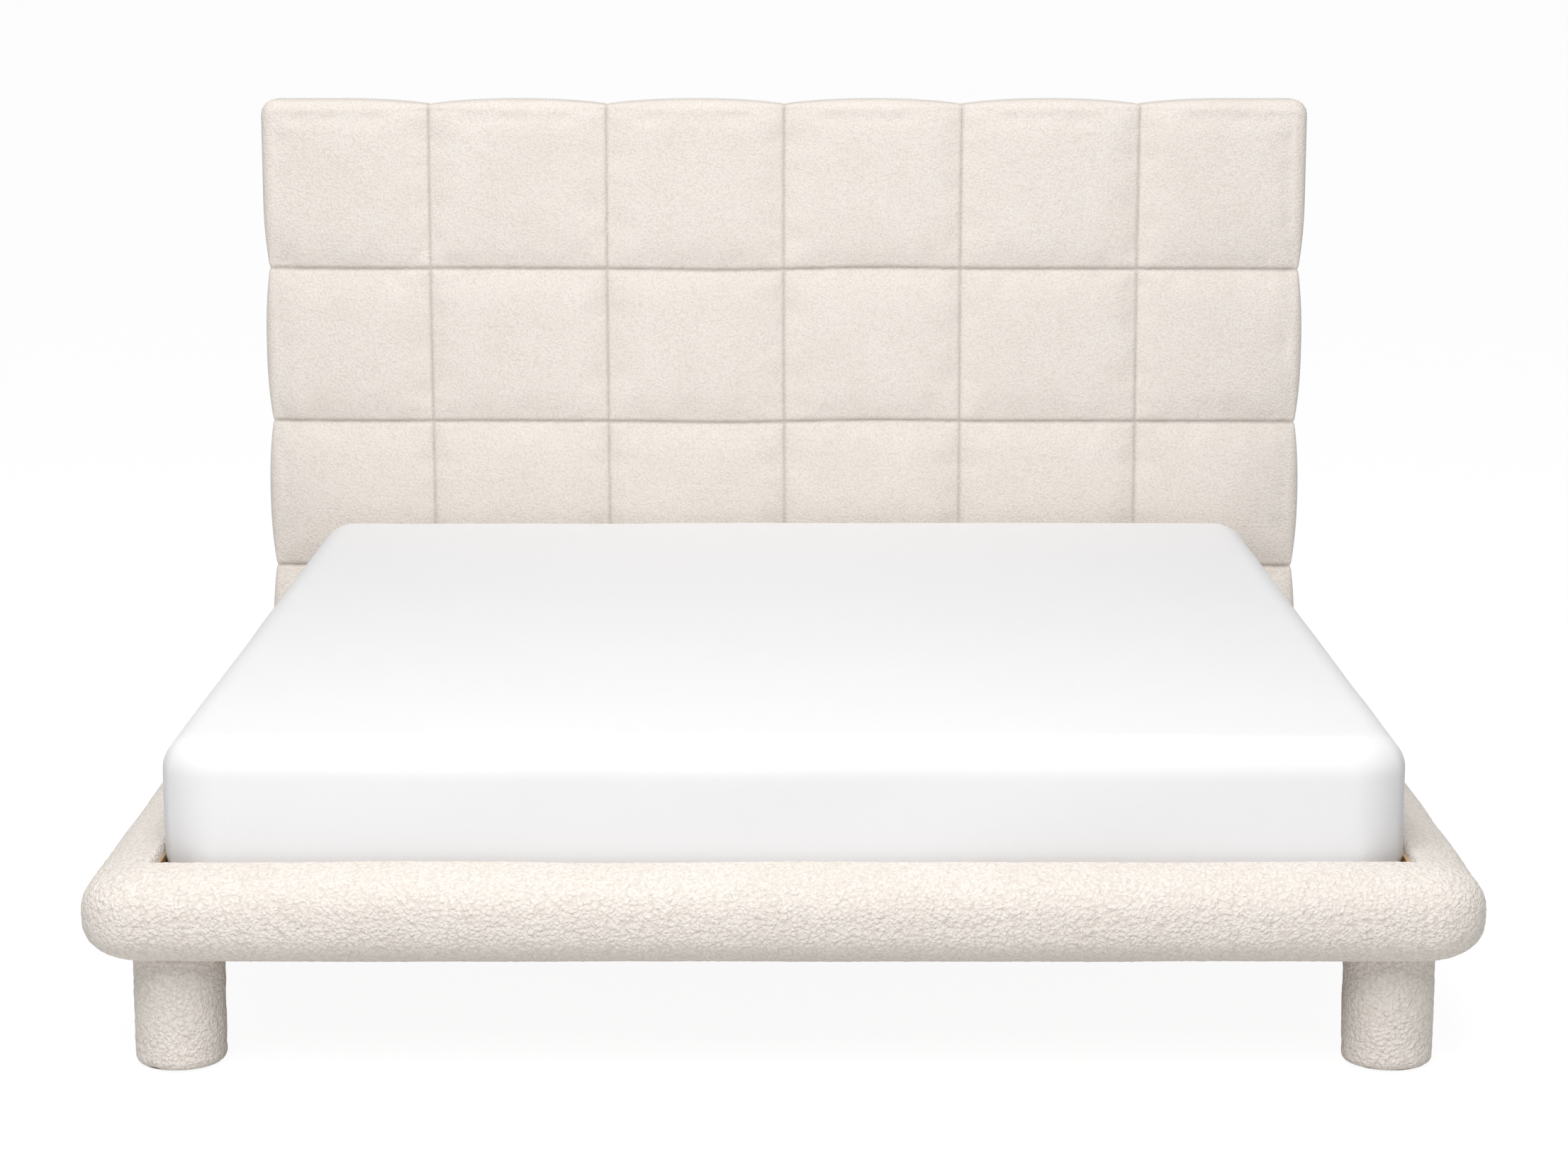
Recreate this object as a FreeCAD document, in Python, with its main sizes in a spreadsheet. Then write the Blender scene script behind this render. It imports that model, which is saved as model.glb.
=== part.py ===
import FreeCAD, Part
import os
import Sketcher
from FreeCAD import Rotation, Vector

# Upholstered headboard bed, millimetres.  X runs across the bed, +Y towards the headboard, +Z up.
# The origin is on the floor, under the middle of the bed's length and width.

DIMENSIONS = {
    # mattress and its fitted sheet
    "mattress_width": 1800,
    "mattress_length": 2000,
    "mattress_height": 220,
    "mattress_corner": 60,
    "mattress_edge": 50,
    "sheet_thickness": 1.5,
    "sheet_hem": 8,
    "mattress_play": 1.5,
    "mattress_sink": 50,
    # padded rails on their timber cores
    "rail_width": 105,
    "rail_height": 145,
    "rail_clear": 165,
    "rail_roll": 70,
    "rail_corner": 86,
    "core_thickness": 28,
    "core_height": 118,
    "core_underpad": 12,
    "head_rail_thickness": 28,
    "head_rail_drop": 5,
    # headboard
    "headboard_width": 2030,
    "headboard_top": 1300,
    "headboard_bottom": 90,
    "headboard_corner": 28,
    "headboard_roll": 22,
    "headboard_wrap": 14,
    "cushion_depth": 50,
    "board_thickness": 6,
    "frame_depth": 27.5,
    "cloth_thickness": 1.5,
    "frame_member": 70,
    "frame_bottom_member": 160,
    # legs
    "leg_diameter": 133,
    "leg_padding": 8,
    "leg_set_in": 25,
    "leg_headboard_gap": 8,
    "leg_hem_round": 3,
    "glide_height": 4,
    "glide_diameter": 70,
    "block_size": 123,
    # slats on their ledges, joined by two tapes
    "slat_width": 80,
    "slat_thickness": 18,
    "slat_end_play": 3,
    "slat_end_margin": 12,
    "ledge_width": 25,
    "ledge_height": 38,
    "tape_width": 30,
    "tape_thickness": 1,
    "tape_offset": 450,
    # centre beam, its hangers and its two legs
    "beam_width": 30,
    "beam_height": 40,
    "beam_wall": 2,
    "hanger_thickness": 3,
    "hanger_width": 76,
    "hanger_drop": 22,
    "hanger_shelf": 40,
    "centre_leg_diameter": 45,
    "centre_leg_offset": 333,
    # levelling foot: pad, swivel spigot, hexagon collar and threaded shank
    "foot_base_diameter": 38,
    "foot_top_diameter": 26,
    "foot_height": 8,
    "spigot_diameter": 6,
    "spigot_depth": 5,
    "spigot_end_play": 0.1,
    "collar_across_corners": 15,
    "collar_height": 6,
    "shank_diameter": 8,
    "shank_length": 38,
    "shank_end_play": 4,
    # fasteners
    "hole_play": 0.05,
    "screw_diameter": 5,
    "screw_tip_cover": 3,
    "screw_head_diameter": 9,
    "screw_head_height": 3,
    "short_screw_length": 25,
    "bolt_diameter": 8,
    "bolt_head_diameter": 14,
    "bolt_head_height": 8,
    "bolt_bore_diameter": 20,
    "rail_bolt_reach": 60,
    "rail_bolt_bite": 22,
    "rail_bolt_near": 63,
    "rail_bolt_far": 100,
    "headboard_bolt_bite": 20,
    "headboard_bolt_near": 300,
    "headboard_bolt_far": 700,
    "stud_diameter": 10,
    "stud_in_leg": 50,
    "stud_above_leg": 35,
    "block_screw_near": 70,
    "block_screw_far": 100,
    "ledge_screw_margin": 160,
    "hanger_screw_offset": 28,
    "hanger_screw_rise": 8,
}
SLAT_COUNT = 13
LEDGE_SCREWS = 6
COLLAR_FLATS = 6
SAME_PLACE = 1e-4

# Levels and stations that several pieces share, as expressions on the sheet's values.
RAIL_TOP = "(dims.rail_clear + dims.rail_height)"
MATTRESS_BOTTOM = f"({RAIL_TOP} - dims.mattress_sink)"
SLAT_BOTTOM = f"({MATTRESS_BOTTOM} - dims.slat_thickness)"
LEDGE_BOTTOM = f"({SLAT_BOTTOM} - dims.ledge_height)"
BEAM_BOTTOM = f"({SLAT_BOTTOM} - dims.beam_height)"
CORE_BOTTOM = "(dims.rail_clear + dims.core_underpad)"
SIDE_PLAY = "(dims.sheet_thickness + dims.mattress_play)"
WELL_X = f"(dims.mattress_width / 2 + {SIDE_PLAY})"
OUTER_X = f"({WELL_X} + dims.rail_width)"
FRAME_STACK = "dims.board_thickness + dims.frame_depth + dims.cloth_thickness"
HEADBOARD_DEPTH = f"(dims.cushion_depth + {FRAME_STACK})"
HALF_LENGTH = f"((dims.rail_width + dims.mattress_length + 2 * {SIDE_PLAY} + {HEADBOARD_DEPTH}) / 2)"
FOOT_FACE = f"(-{HALF_LENGTH})"
WELL_FOOT = f"({FOOT_FACE} + dims.rail_width)"
HEADBOARD_FACE = f"({HALF_LENGTH} - {HEADBOARD_DEPTH})"
BOARD_FACE = f"({HEADBOARD_FACE} + dims.cushion_depth)"
FRAME_FACE = f"({BOARD_FACE} + dims.board_thickness)"
CLOTH_FACE = f"({FRAME_FACE} + dims.frame_depth)"
HEAD_RAIL_FACE = f"({HEADBOARD_FACE} - dims.head_rail_thickness)"
MATTRESS_Y = f"({WELL_FOOT} + {SIDE_PLAY} + dims.mattress_length / 2)"
FRAME_X = "(dims.headboard_width / 2 - dims.headboard_wrap)"
FRAME_BOTTOM = "(dims.headboard_bottom + dims.headboard_wrap)"
FRAME_TOP = "(dims.headboard_top - dims.headboard_wrap)"
LEG_X = f"({WELL_X} - dims.leg_set_in)"
FOOT_LEG_Y = f"({WELL_FOOT} + dims.leg_set_in)"
HEAD_LEG_Y = f"({HEADBOARD_FACE} - dims.leg_headboard_gap - dims.leg_diameter / 2)"
BLOCK_MID_Z = f"(({CORE_BOTTOM} + {LEDGE_BOTTOM}) / 2)"
HEAD_RAIL_TOP = f"({MATTRESS_BOTTOM} - dims.head_rail_drop)"
HEAD_RAIL_MID_Z = f"(({CORE_BOTTOM} + {HEAD_RAIL_TOP}) / 2)"
CENTRE_LEG_BOTTOM = "(dims.foot_height + dims.collar_height)"
SCREW_LENGTH = "(dims.ledge_width - dims.screw_head_height + dims.core_thickness - dims.screw_tip_cover)"

SIDES = {"left": "-1", "right": "1"}
ENDS = {"foot": FOOT_LEG_Y, "head": HEAD_LEG_Y}
TURNS = {
    "+X": Rotation(Vector(0, 1, 0), 90),
    "-X": Rotation(Vector(0, 1, 0), -90),
    "+Y": Rotation(Vector(1, 0, 0), -90),
    "-Y": Rotation(Vector(1, 0, 0), 90),
    "+Z": Rotation(),
    "-Z": Rotation(Vector(1, 0, 0), 180),
}

doc = FreeCAD.newDocument("upholstered_headboard_bed")
sheet = doc.addObject("Spreadsheet::Sheet", "dims")
for row, (alias, value) in enumerate(DIMENSIONS.items(), start=1):
    sheet.set(f"A{row}", alias.replace("_", " "))
    sheet.set(f"B{row}", str(value))
    sheet.setAlias(f"B{row}", alias)
doc.recompute()

subparts = []


def keep(item, label):
    """Name a finished piece and put it on the list of pieces to write."""
    item.Label = label
    subparts.append(item)
    return item


def place(item, x, y, z):
    """Bind an object's position to three expressions."""
    for axis, text in zip("xyz", (x, y, z)):
        item.setExpression(f"Placement.Base.{axis}", text)
    return item


def box(name, width, depth, height, x, y, bottom):
    """A block centred on x and y, standing on bottom."""
    block = doc.addObject("Part::Box", name)
    block.setExpression("Length", width)
    block.setExpression("Width", depth)
    block.setExpression("Height", height)
    return place(block, f"({x}) - ({width}) / 2", f"({y}) - ({depth}) / 2", bottom)


def cylinder(name, radius, height, x, y, z, way="+Z"):
    """A round bar that starts at a point and runs one way."""
    bar = doc.addObject("Part::Cylinder", name)
    bar.setExpression("Radius", radius)
    bar.setExpression("Height", height)
    bar.Placement.Rotation = TURNS[way]
    return place(bar, x, y, z)


def fuse(name, *pieces):
    """One solid from pieces that touch."""
    joined = doc.addObject("Part::MultiFuse", name)
    joined.Shapes = list(pieces)
    return joined


def group(name, pieces):
    """Separate solids kept together."""
    several = doc.addObject("Part::Compound", name)
    several.Links = list(pieces)
    return several


def cut(name, base, *tools):
    """A piece with tools taken out of it, one after another."""
    for number, tool in enumerate(tools, start=1):
        less = doc.addObject("Part::Cut", f"{name}_cut_{number}")
        less.Base = base
        less.Tool = tool
        base = less
    return base


def stepped_back(point, way, distance):
    """A point moved against the way it faces."""
    moved = list(point)
    index = "XYZ".index(way[1])
    sign = "-" if way[0] == "+" else "+"
    moved[index] = f"({moved[index]}) {sign} ({distance})"
    return moved


def fastener(name, point, way, radius, length, head_radius, head_height, play="0"):
    """A headed pin: its shank starts at the point and its head stands behind the point."""
    shank = cylinder(f"{name}_shank", f"{radius} + {play}", length, *point, way)
    head_point = stepped_back(point, way, head_height)
    head = cylinder(f"{name}_head", f"{head_radius} + {play}", head_height, *head_point, way)
    return fuse(name, shank, head)


def fastener_set(name, points, radius, length, head_radius, head_height, bore_radius=None):
    """The fasteners of one kind as a group, and the group of holes that they sit in."""
    pins = []
    holes = []
    for number, (point, way) in enumerate(points, start=1):
        pins.append(fastener(f"{name}_{number}", point, way, radius, length, head_radius, head_height))
        if bore_radius is None:
            holes.append(fastener(f"{name}_hole_{number}", point, way, radius, length,
                                  head_radius, head_height, "dims.hole_play"))
        else:
            holes.append(fastener(f"{name}_hole_{number}", point, way, radius, length,
                                  bore_radius, "dims.block_size", "dims.hole_play"))
    keep(group(name, pins), name)
    return group(f"{name}_holes", holes)


def new_body(name):
    """A body and its horizontal origin plane."""
    body = doc.addObject("PartDesign::Body", name)
    plane = next(item for item in body.Origin.OriginFeatures if item.Role == "XY_Plane")
    return body, plane


def new_sketch(body, plane, name):
    """An empty sketch on a plane of its own body."""
    sketch = body.newObject("Sketcher::SketchObject", name)
    sketch.AttachmentSupport = [(plane, "")]
    sketch.MapMode = "FlatFace"
    return sketch


def draw_rectangle(sketch, width, depth):
    """A rectangle centred on the sketch's origin, with its two sizes bound."""
    first = sketch.GeometryCount
    corners = [Vector(-1, -1, 0), Vector(1, -1, 0), Vector(1, 1, 0), Vector(-1, 1, 0)]
    for start, end in zip(corners, corners[1:] + corners[:1]):
        sketch.addGeometry(Part.LineSegment(start, end), False)
    low, right, high, left = range(first, first + len(corners))
    for near, far in ((low, right), (right, high), (high, left), (left, low)):
        sketch.addConstraint(Sketcher.Constraint("Coincident", near, 2, far, 1))
    sketch.addConstraint(Sketcher.Constraint("Horizontal", low))
    sketch.addConstraint(Sketcher.Constraint("Horizontal", high))
    sketch.addConstraint(Sketcher.Constraint("Vertical", right))
    sketch.addConstraint(Sketcher.Constraint("Vertical", left))
    sketch.addConstraint(Sketcher.Constraint("Symmetric", low, 1, high, 1, -1, 1))
    across = sketch.addConstraint(Sketcher.Constraint("DistanceX", low, 1, low, 2, 2))
    along = sketch.addConstraint(Sketcher.Constraint("DistanceY", right, 1, right, 2, 2))
    sketch.setExpression(f"Constraints[{across}]", width)
    sketch.setExpression(f"Constraints[{along}]", depth)


def draw_circle(sketch, radius):
    """A circle centred on the sketch's origin, with its radius bound."""
    ring = sketch.addGeometry(Part.Circle(Vector(0, 0, 0), Vector(0, 0, 1), 1), False)
    sketch.addConstraint(Sketcher.Constraint("Coincident", ring, 3, -1, 1))
    size = sketch.addConstraint(Sketcher.Constraint("Radius", ring, 1))
    sketch.setExpression(f"Constraints[{size}]", radius)


def pad(body, sketch, height):
    """Raise a sketch by a bound height."""
    feature = body.newObject("PartDesign::Pad", f"{body.Name}_pad")
    feature.Profile = sketch
    feature.setExpression("Length", height)
    doc.recompute()
    return feature


def fillet(body, base, radius, wanted):
    """Round the edges of the last feature that a test picks by their place in its box."""
    limits = base.Shape.BoundBox
    names = [f"Edge{number}" for number, edge in enumerate(base.Shape.Edges, start=1)
             if wanted(edge.BoundBox, limits)]
    feature = body.newObject("PartDesign::Fillet", f"{body.Name}_fillet")
    feature.Base = (base, names)
    feature.setExpression("Radius", radius)
    doc.recompute()
    return feature


def same(first, second):
    """Whether two coordinates are the same place."""
    return abs(first - second) < SAME_PLACE


def is_upright(edge, limits):
    """Edges that run from the bottom to the top."""
    return same(edge.ZMin, limits.ZMin) and same(edge.ZMax, limits.ZMax)


def is_level(edge, limits):
    """Edges that lie in the top face or the bottom face."""
    at_bottom = same(edge.ZMax, limits.ZMin)
    at_top = same(edge.ZMin, limits.ZMax)
    return at_bottom or at_top


def is_outer_upright(edge, limits):
    """Upright edges at the low-Y side."""
    return is_upright(edge, limits) and same(edge.YMax, limits.YMin)


def is_outer_roll(edge, limits):
    """Level edges all round, apart from the long ones at the high-Y side."""
    return is_level(edge, limits) and not same(edge.YMin, limits.YMax)


def is_left_roll(edge, limits):
    """Level edges along the low-X side."""
    return is_level(edge, limits) and same(edge.XMax, limits.XMin)


def is_right_roll(edge, limits):
    """Level edges along the high-X side."""
    return is_level(edge, limits) and same(edge.XMin, limits.XMax)


def is_fore_and_aft(edge, limits):
    """Edges that run from the low-Y face to the high-Y face."""
    return same(edge.YMin, limits.YMin) and same(edge.YMax, limits.YMax)


def is_in_front(edge, limits):
    """Edges that lie in the low-Y face."""
    return same(edge.YMax, limits.YMin)


def is_bottom_outside(edge, limits):
    """The outer edge of the bottom face."""
    return same(edge.ZMax, limits.ZMin) and same(edge.XMin, limits.XMin)


def rounded_block(name, width, depth, height, x, y, bottom, rounds):
    """A padded block with some of its edges rounded, in the order given."""
    body, plane = new_body(name)
    outline = new_sketch(body, plane, f"{name}_outline")
    draw_rectangle(outline, width, depth)
    solid = pad(body, outline, height)
    for radius, wanted in rounds:
        solid = fillet(body, solid, radius, wanted)
    place(body, x, y, bottom)
    return body


# ---- fasteners and the holes that they sit in ----

wood_screw_points = []
for sign in SIDES.values():
    into_rail = "+X" if sign == "1" else "-X"
    into_block = "-X" if sign == "1" else "+X"
    ledge_face = f"{sign} * ({WELL_X} - dims.ledge_width + dims.screw_head_height)"
    core_face = f"{sign} * ({WELL_X} + dims.core_thickness - dims.screw_head_height)"
    ledge_start = f"({WELL_FOOT} + dims.ledge_screw_margin)"
    ledge_span = f"({HEAD_RAIL_FACE} - {WELL_FOOT} - 2 * dims.ledge_screw_margin)"
    for step in range(LEDGE_SCREWS):
        along = f"{ledge_start} + {ledge_span} * {step} / {LEDGE_SCREWS - 1}"
        level = f"({LEDGE_BOTTOM} + dims.ledge_height / 2)"
        wood_screw_points.append(((ledge_face, along, level), into_rail))
    for offset in ("dims.block_screw_near", "dims.block_screw_far"):
        wood_screw_points.append(((core_face, f"{WELL_FOOT} + {offset}", BLOCK_MID_Z), into_block))
        wood_screw_points.append(((core_face, f"{HEAD_RAIL_FACE} - {offset}", BLOCK_MID_Z), into_block))
    slat_top = f"({MATTRESS_BOTTOM} - dims.screw_head_height)"
    ledge_mid = f"{sign} * ({WELL_X} - dims.ledge_width / 2)"
    end_slat = "(dims.slat_end_margin + dims.slat_width / 2)"
    wood_screw_points.append(((ledge_mid, f"{WELL_FOOT} + {end_slat}", slat_top), "-Z"))
    wood_screw_points.append(((ledge_mid, f"{HEAD_RAIL_FACE} - {end_slat}", slat_top), "-Z"))
wood_screw_holes = fastener_set(
    "wood_screws", wood_screw_points, "dims.screw_diameter / 2", SCREW_LENGTH,
    "dims.screw_head_diameter / 2", "dims.screw_head_height")

rail_bolt_points = []
for sign in SIDES.values():
    for offset in ("dims.rail_bolt_near", "dims.rail_bolt_far"):
        across = f"{sign} * ({WELL_X} - {offset})"
        rail_bolt_points.append(((across, f"{WELL_FOOT} + dims.rail_bolt_reach", BLOCK_MID_Z), "-Y"))
        rail_bolt_points.append(((across, f"{HEAD_RAIL_FACE} - dims.rail_bolt_reach", BLOCK_MID_Z), "+Y"))
rail_bolt_holes = fastener_set(
    "rail_bolts", rail_bolt_points, "dims.bolt_diameter / 2", "dims.rail_bolt_reach + dims.rail_bolt_bite",
    "dims.bolt_head_diameter / 2", "dims.bolt_head_height", "dims.bolt_bore_diameter / 2")

headboard_bolt_points = [
    ((f"{sign} * {offset}", HEAD_RAIL_FACE, HEAD_RAIL_MID_Z), "+Y")
    for sign in SIDES.values() for offset in ("dims.headboard_bolt_near", "dims.headboard_bolt_far")]
headboard_bolt_holes = fastener_set(
    "headboard_bolts", headboard_bolt_points, "dims.bolt_diameter / 2",
    "dims.head_rail_thickness + dims.cushion_depth + dims.board_thickness + dims.headboard_bolt_bite",
    "dims.bolt_head_diameter / 2", "dims.bolt_head_height")

hanger_screw_points = []
for sign in SIDES.values():
    across = f"{sign} * dims.hanger_screw_offset"
    level = f"{BEAM_BOTTOM} + dims.hanger_screw_rise"
    hanger_screw_points.append(((across, f"{WELL_FOOT} + dims.hanger_thickness", level), "-Y"))
    hanger_screw_points.append(((across, f"{HEAD_RAIL_FACE} - dims.hanger_thickness", level), "+Y"))
hanger_screw_holes = fastener_set(
    "hanger_screws", hanger_screw_points, "dims.screw_diameter / 2", "dims.short_screw_length",
    "dims.screw_head_diameter / 2", "dims.screw_head_height")

# Each stud is fixed in the top of a leg and screws into what the leg carries.
leg_tops = []
for sign in SIDES.values():
    for along in ENDS.values():
        leg_tops.append((f"{sign} * {LEG_X}", along, "dims.rail_clear"))
    leg_tops.append(("0", f"{sign} * dims.centre_leg_offset", BEAM_BOTTOM))
studs = []
stud_holes = []
for number, (x, y, top) in enumerate(leg_tops, start=1):
    start = (x, y, f"{top} - dims.stud_in_leg")
    length = "dims.stud_in_leg + dims.stud_above_leg"
    studs.append(cylinder(f"stud_{number}", "dims.stud_diameter / 2", length, *start))
    hole_radius = "dims.stud_diameter / 2 + dims.hole_play"
    stud_holes.append(cylinder(f"stud_hole_{number}", hole_radius, length, *start))
keep(group("leg_studs", studs), "leg_studs")
leg_stud_holes = group("leg_stud_holes", stud_holes)

# ---- rails: timber cores, with padded covers that leave each core's inner face bare ----

CORE_LENGTH = f"({HEADBOARD_FACE} - {WELL_FOOT})"
CORE_MID_Y = f"(({HEADBOARD_FACE} + {WELL_FOOT}) / 2)"
for side, sign in SIDES.items():
    core = box(f"side_core_{side}", "dims.core_thickness", CORE_LENGTH, "dims.core_height",
               f"{sign} * ({WELL_X} + dims.core_thickness / 2)", CORE_MID_Y, CORE_BOTTOM)
    keep(cut(f"side_rail_core_{side}", core, wood_screw_holes), f"side_rail_core_{side}")
    roll = is_right_roll if side == "right" else is_left_roll
    bolster = rounded_block(
        f"side_bolster_{side}", "dims.rail_width", CORE_LENGTH, "dims.rail_height",
        f"{sign} * ({WELL_X} + dims.rail_width / 2)", CORE_MID_Y, "dims.rail_clear",
        [("dims.rail_roll", roll)])
    keep(cut(f"side_rail_cover_{side}", bolster, core), f"side_rail_cover_{side}")

foot_core = box("foot_core", f"2 * ({WELL_X} + dims.core_thickness)", "dims.core_thickness",
                "dims.core_height", "0", f"{WELL_FOOT} - dims.core_thickness / 2", CORE_BOTTOM)
keep(cut("foot_rail_core", foot_core, rail_bolt_holes, hanger_screw_holes), "foot_rail_core")
foot_bolster = rounded_block(
    "foot_bolster", f"2 * {OUTER_X}", "dims.rail_width", "dims.rail_height",
    "0", f"{FOOT_FACE} + dims.rail_width / 2", "dims.rail_clear",
    [("dims.rail_corner", is_outer_upright), ("dims.rail_roll", is_outer_roll)])
keep(cut("foot_rail_cover", foot_bolster, foot_core), "foot_rail_cover")

head_plank = box("head_plank", f"2 * {WELL_X}", "dims.head_rail_thickness",
                 f"{HEAD_RAIL_TOP} - {CORE_BOTTOM}", "0",
                 f"{HEADBOARD_FACE} - dims.head_rail_thickness / 2", CORE_BOTTOM)
keep(cut("head_rail", head_plank, rail_bolt_holes, headboard_bolt_holes, hanger_screw_holes), "head_rail")

# ---- corner blocks and legs ----

block_y = {
    "foot": f"({WELL_FOOT} + dims.block_size / 2)",
    "head": f"({HEAD_RAIL_FACE} - dims.block_size / 2)",
}
glides = []
for end, leg_y in ENDS.items():
    for side, sign in SIDES.items():
        corner = f"{end}_{side}"
        leg_x = f"{sign} * {LEG_X}"
        block_height = f"{LEDGE_BOTTOM} - dims.rail_clear"
        block = box(f"block_{corner}", "dims.block_size", "dims.block_size", block_height,
                    f"{sign} * ({WELL_X} - dims.block_size / 2)", block_y[end], "dims.rail_clear")
        keep(cut(f"corner_block_{corner}", block, rail_bolt_holes, wood_screw_holes, leg_stud_holes),
             f"corner_block_{corner}")
        leg_height = "dims.rail_clear - dims.glide_height"
        post = cylinder(f"post_{corner}", "dims.leg_diameter / 2 - dims.leg_padding", leg_height,
                        leg_x, leg_y, "dims.glide_height")
        keep(cut(f"leg_core_{corner}", post, leg_stud_holes), f"leg_core_{corner}")
        sleeve, plane = new_body(f"sleeve_{corner}")
        ring = new_sketch(sleeve, plane, f"ring_{corner}")
        draw_circle(ring, "dims.leg_diameter / 2")
        draw_circle(ring, "dims.leg_diameter / 2 - dims.leg_padding")
        wall = pad(sleeve, ring, leg_height)
        fillet(sleeve, wall, "dims.leg_hem_round", is_bottom_outside)
        keep(place(sleeve, leg_x, leg_y, "dims.glide_height"), f"leg_cover_{corner}")
        glides.append(cylinder(f"glide_{corner}", "dims.glide_diameter / 2", "dims.glide_height",
                               leg_x, leg_y, "0"))
keep(group("leg_glides", glides), "leg_glides")

# ---- slats on their ledges ----

LEDGE_LENGTH = f"({HEAD_RAIL_FACE} - {WELL_FOOT})"
LEDGE_MID_Y = f"(({HEAD_RAIL_FACE} + {WELL_FOOT}) / 2)"
for side, sign in SIDES.items():
    ledge = box(f"ledge_{side}", "dims.ledge_width", LEDGE_LENGTH, "dims.ledge_height",
                f"{sign} * ({WELL_X} - dims.ledge_width / 2)", LEDGE_MID_Y, LEDGE_BOTTOM)
    keep(cut(f"slat_ledge_{side}", ledge, wood_screw_holes), f"slat_ledge_{side}")

FIRST_SLAT_Y = f"({WELL_FOOT} + dims.slat_end_margin + dims.slat_width / 2)"
SLAT_SPAN = f"({LEDGE_LENGTH} - 2 * dims.slat_end_margin - dims.slat_width)"
for number in range(1, SLAT_COUNT + 1):
    along = f"{FIRST_SLAT_Y} + {SLAT_SPAN} * {number - 1} / {SLAT_COUNT - 1}"
    slat = box(f"lath_{number:02d}", f"2 * ({WELL_X} - dims.slat_end_play)", "dims.slat_width",
               "dims.slat_thickness", "0", along, SLAT_BOTTOM)
    if number in (1, SLAT_COUNT):
        slat = cut(f"end_lath_{number:02d}", slat, wood_screw_holes)
    keep(slat, f"slat_{number:02d}")
for side, sign in SIDES.items():
    tape = box(f"ribbon_{side}", "dims.tape_width", f"{SLAT_SPAN} + dims.slat_width", "dims.tape_thickness",
               f"{sign} * dims.tape_offset", LEDGE_MID_Y, f"{SLAT_BOTTOM} - dims.tape_thickness")
    keep(tape, f"slat_tape_{side}")

# ---- centre beam on its hangers, with two legs on levelling feet ----

BEAM_LENGTH = f"({LEDGE_LENGTH} - 2 * dims.hanger_thickness)"
beam_bar = box("beam_bar", "dims.beam_width", BEAM_LENGTH, "dims.beam_height",
               "0", LEDGE_MID_Y, BEAM_BOTTOM)
beam_hollow = box("beam_hollow", "dims.beam_width - 2 * dims.beam_wall", BEAM_LENGTH,
                  "dims.beam_height - 2 * dims.beam_wall", "0", LEDGE_MID_Y,
                  f"{BEAM_BOTTOM} + dims.beam_wall")
keep(cut("centre_beam", beam_bar, beam_hollow, leg_stud_holes), "centre_beam")

hanger_ends = {
    "foot": (f"{WELL_FOOT} + dims.hanger_thickness / 2", f"{WELL_FOOT} + dims.hanger_shelf / 2"),
    "head": (f"{HEAD_RAIL_FACE} - dims.hanger_thickness / 2", f"{HEAD_RAIL_FACE} - dims.hanger_shelf / 2"),
}
for end, (plate_y, shelf_y) in hanger_ends.items():
    shelf_bottom = f"{BEAM_BOTTOM} - dims.hanger_thickness"
    plate = box(f"hanger_plate_{end}", "dims.hanger_width", "dims.hanger_thickness",
                "dims.hanger_drop + dims.hanger_thickness", "0", plate_y, shelf_bottom)
    shelf = box(f"hanger_shelf_{end}", "dims.beam_width", "dims.hanger_shelf", "dims.hanger_thickness",
                "0", shelf_y, shelf_bottom)
    bracket = fuse(f"bracket_{end}", plate, shelf)
    keep(cut(f"beam_hanger_{end}", bracket, hanger_screw_holes), f"beam_hanger_{end}_end")

for end, sign in (("foot", "-1"), ("head", "1")):
    along = f"{sign} * dims.centre_leg_offset"
    prop = cylinder(f"prop_{end}", "dims.centre_leg_diameter / 2", f"{BEAM_BOTTOM} - {CENTRE_LEG_BOTTOM}",
                    "0", along, CENTRE_LEG_BOTTOM)
    thread = cylinder(f"prop_thread_{end}", "dims.shank_diameter / 2 + dims.hole_play",
                      "dims.shank_length + dims.shank_end_play", "0", along, CENTRE_LEG_BOTTOM)
    keep(cut(f"centre_leg_{end}", prop, thread, leg_stud_holes), f"centre_leg_{end}_end")

    disc = doc.addObject("Part::Cone", f"disc_{end}")
    disc.setExpression("Radius1", "dims.foot_base_diameter / 2")
    disc.setExpression("Radius2", "dims.foot_top_diameter / 2")
    disc.setExpression("Height", "dims.foot_height")
    place(disc, "0", along, "0")
    socket = cylinder(f"socket_{end}", "dims.spigot_diameter / 2 + dims.hole_play", "dims.spigot_depth",
                      "0", along, "dims.foot_height - dims.spigot_depth")
    keep(cut(f"levelling_pad_{end}", disc, socket), f"levelling_pad_{end}_end")

    spigot_length = "dims.spigot_depth - dims.spigot_end_play"
    spigot = cylinder(f"spigot_{end}", "dims.spigot_diameter / 2", spigot_length,
                      "0", along, f"dims.foot_height - ({spigot_length})")
    collar = doc.addObject("Part::Prism", f"collar_{end}")
    collar.Polygon = COLLAR_FLATS
    collar.setExpression("Circumradius", "dims.collar_across_corners / 2")
    collar.setExpression("Height", "dims.collar_height")
    place(collar, "0", along, "dims.foot_height")
    shank = cylinder(f"shank_{end}", "dims.shank_diameter / 2", "dims.shank_length",
                     "0", along, CENTRE_LEG_BOTTOM)
    keep(fuse(f"levelling_stem_{end}", spigot, collar, shank), f"levelling_stem_{end}_end")

# ---- headboard: timber frame and board, padded front that wraps the edges, cloth back ----

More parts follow.
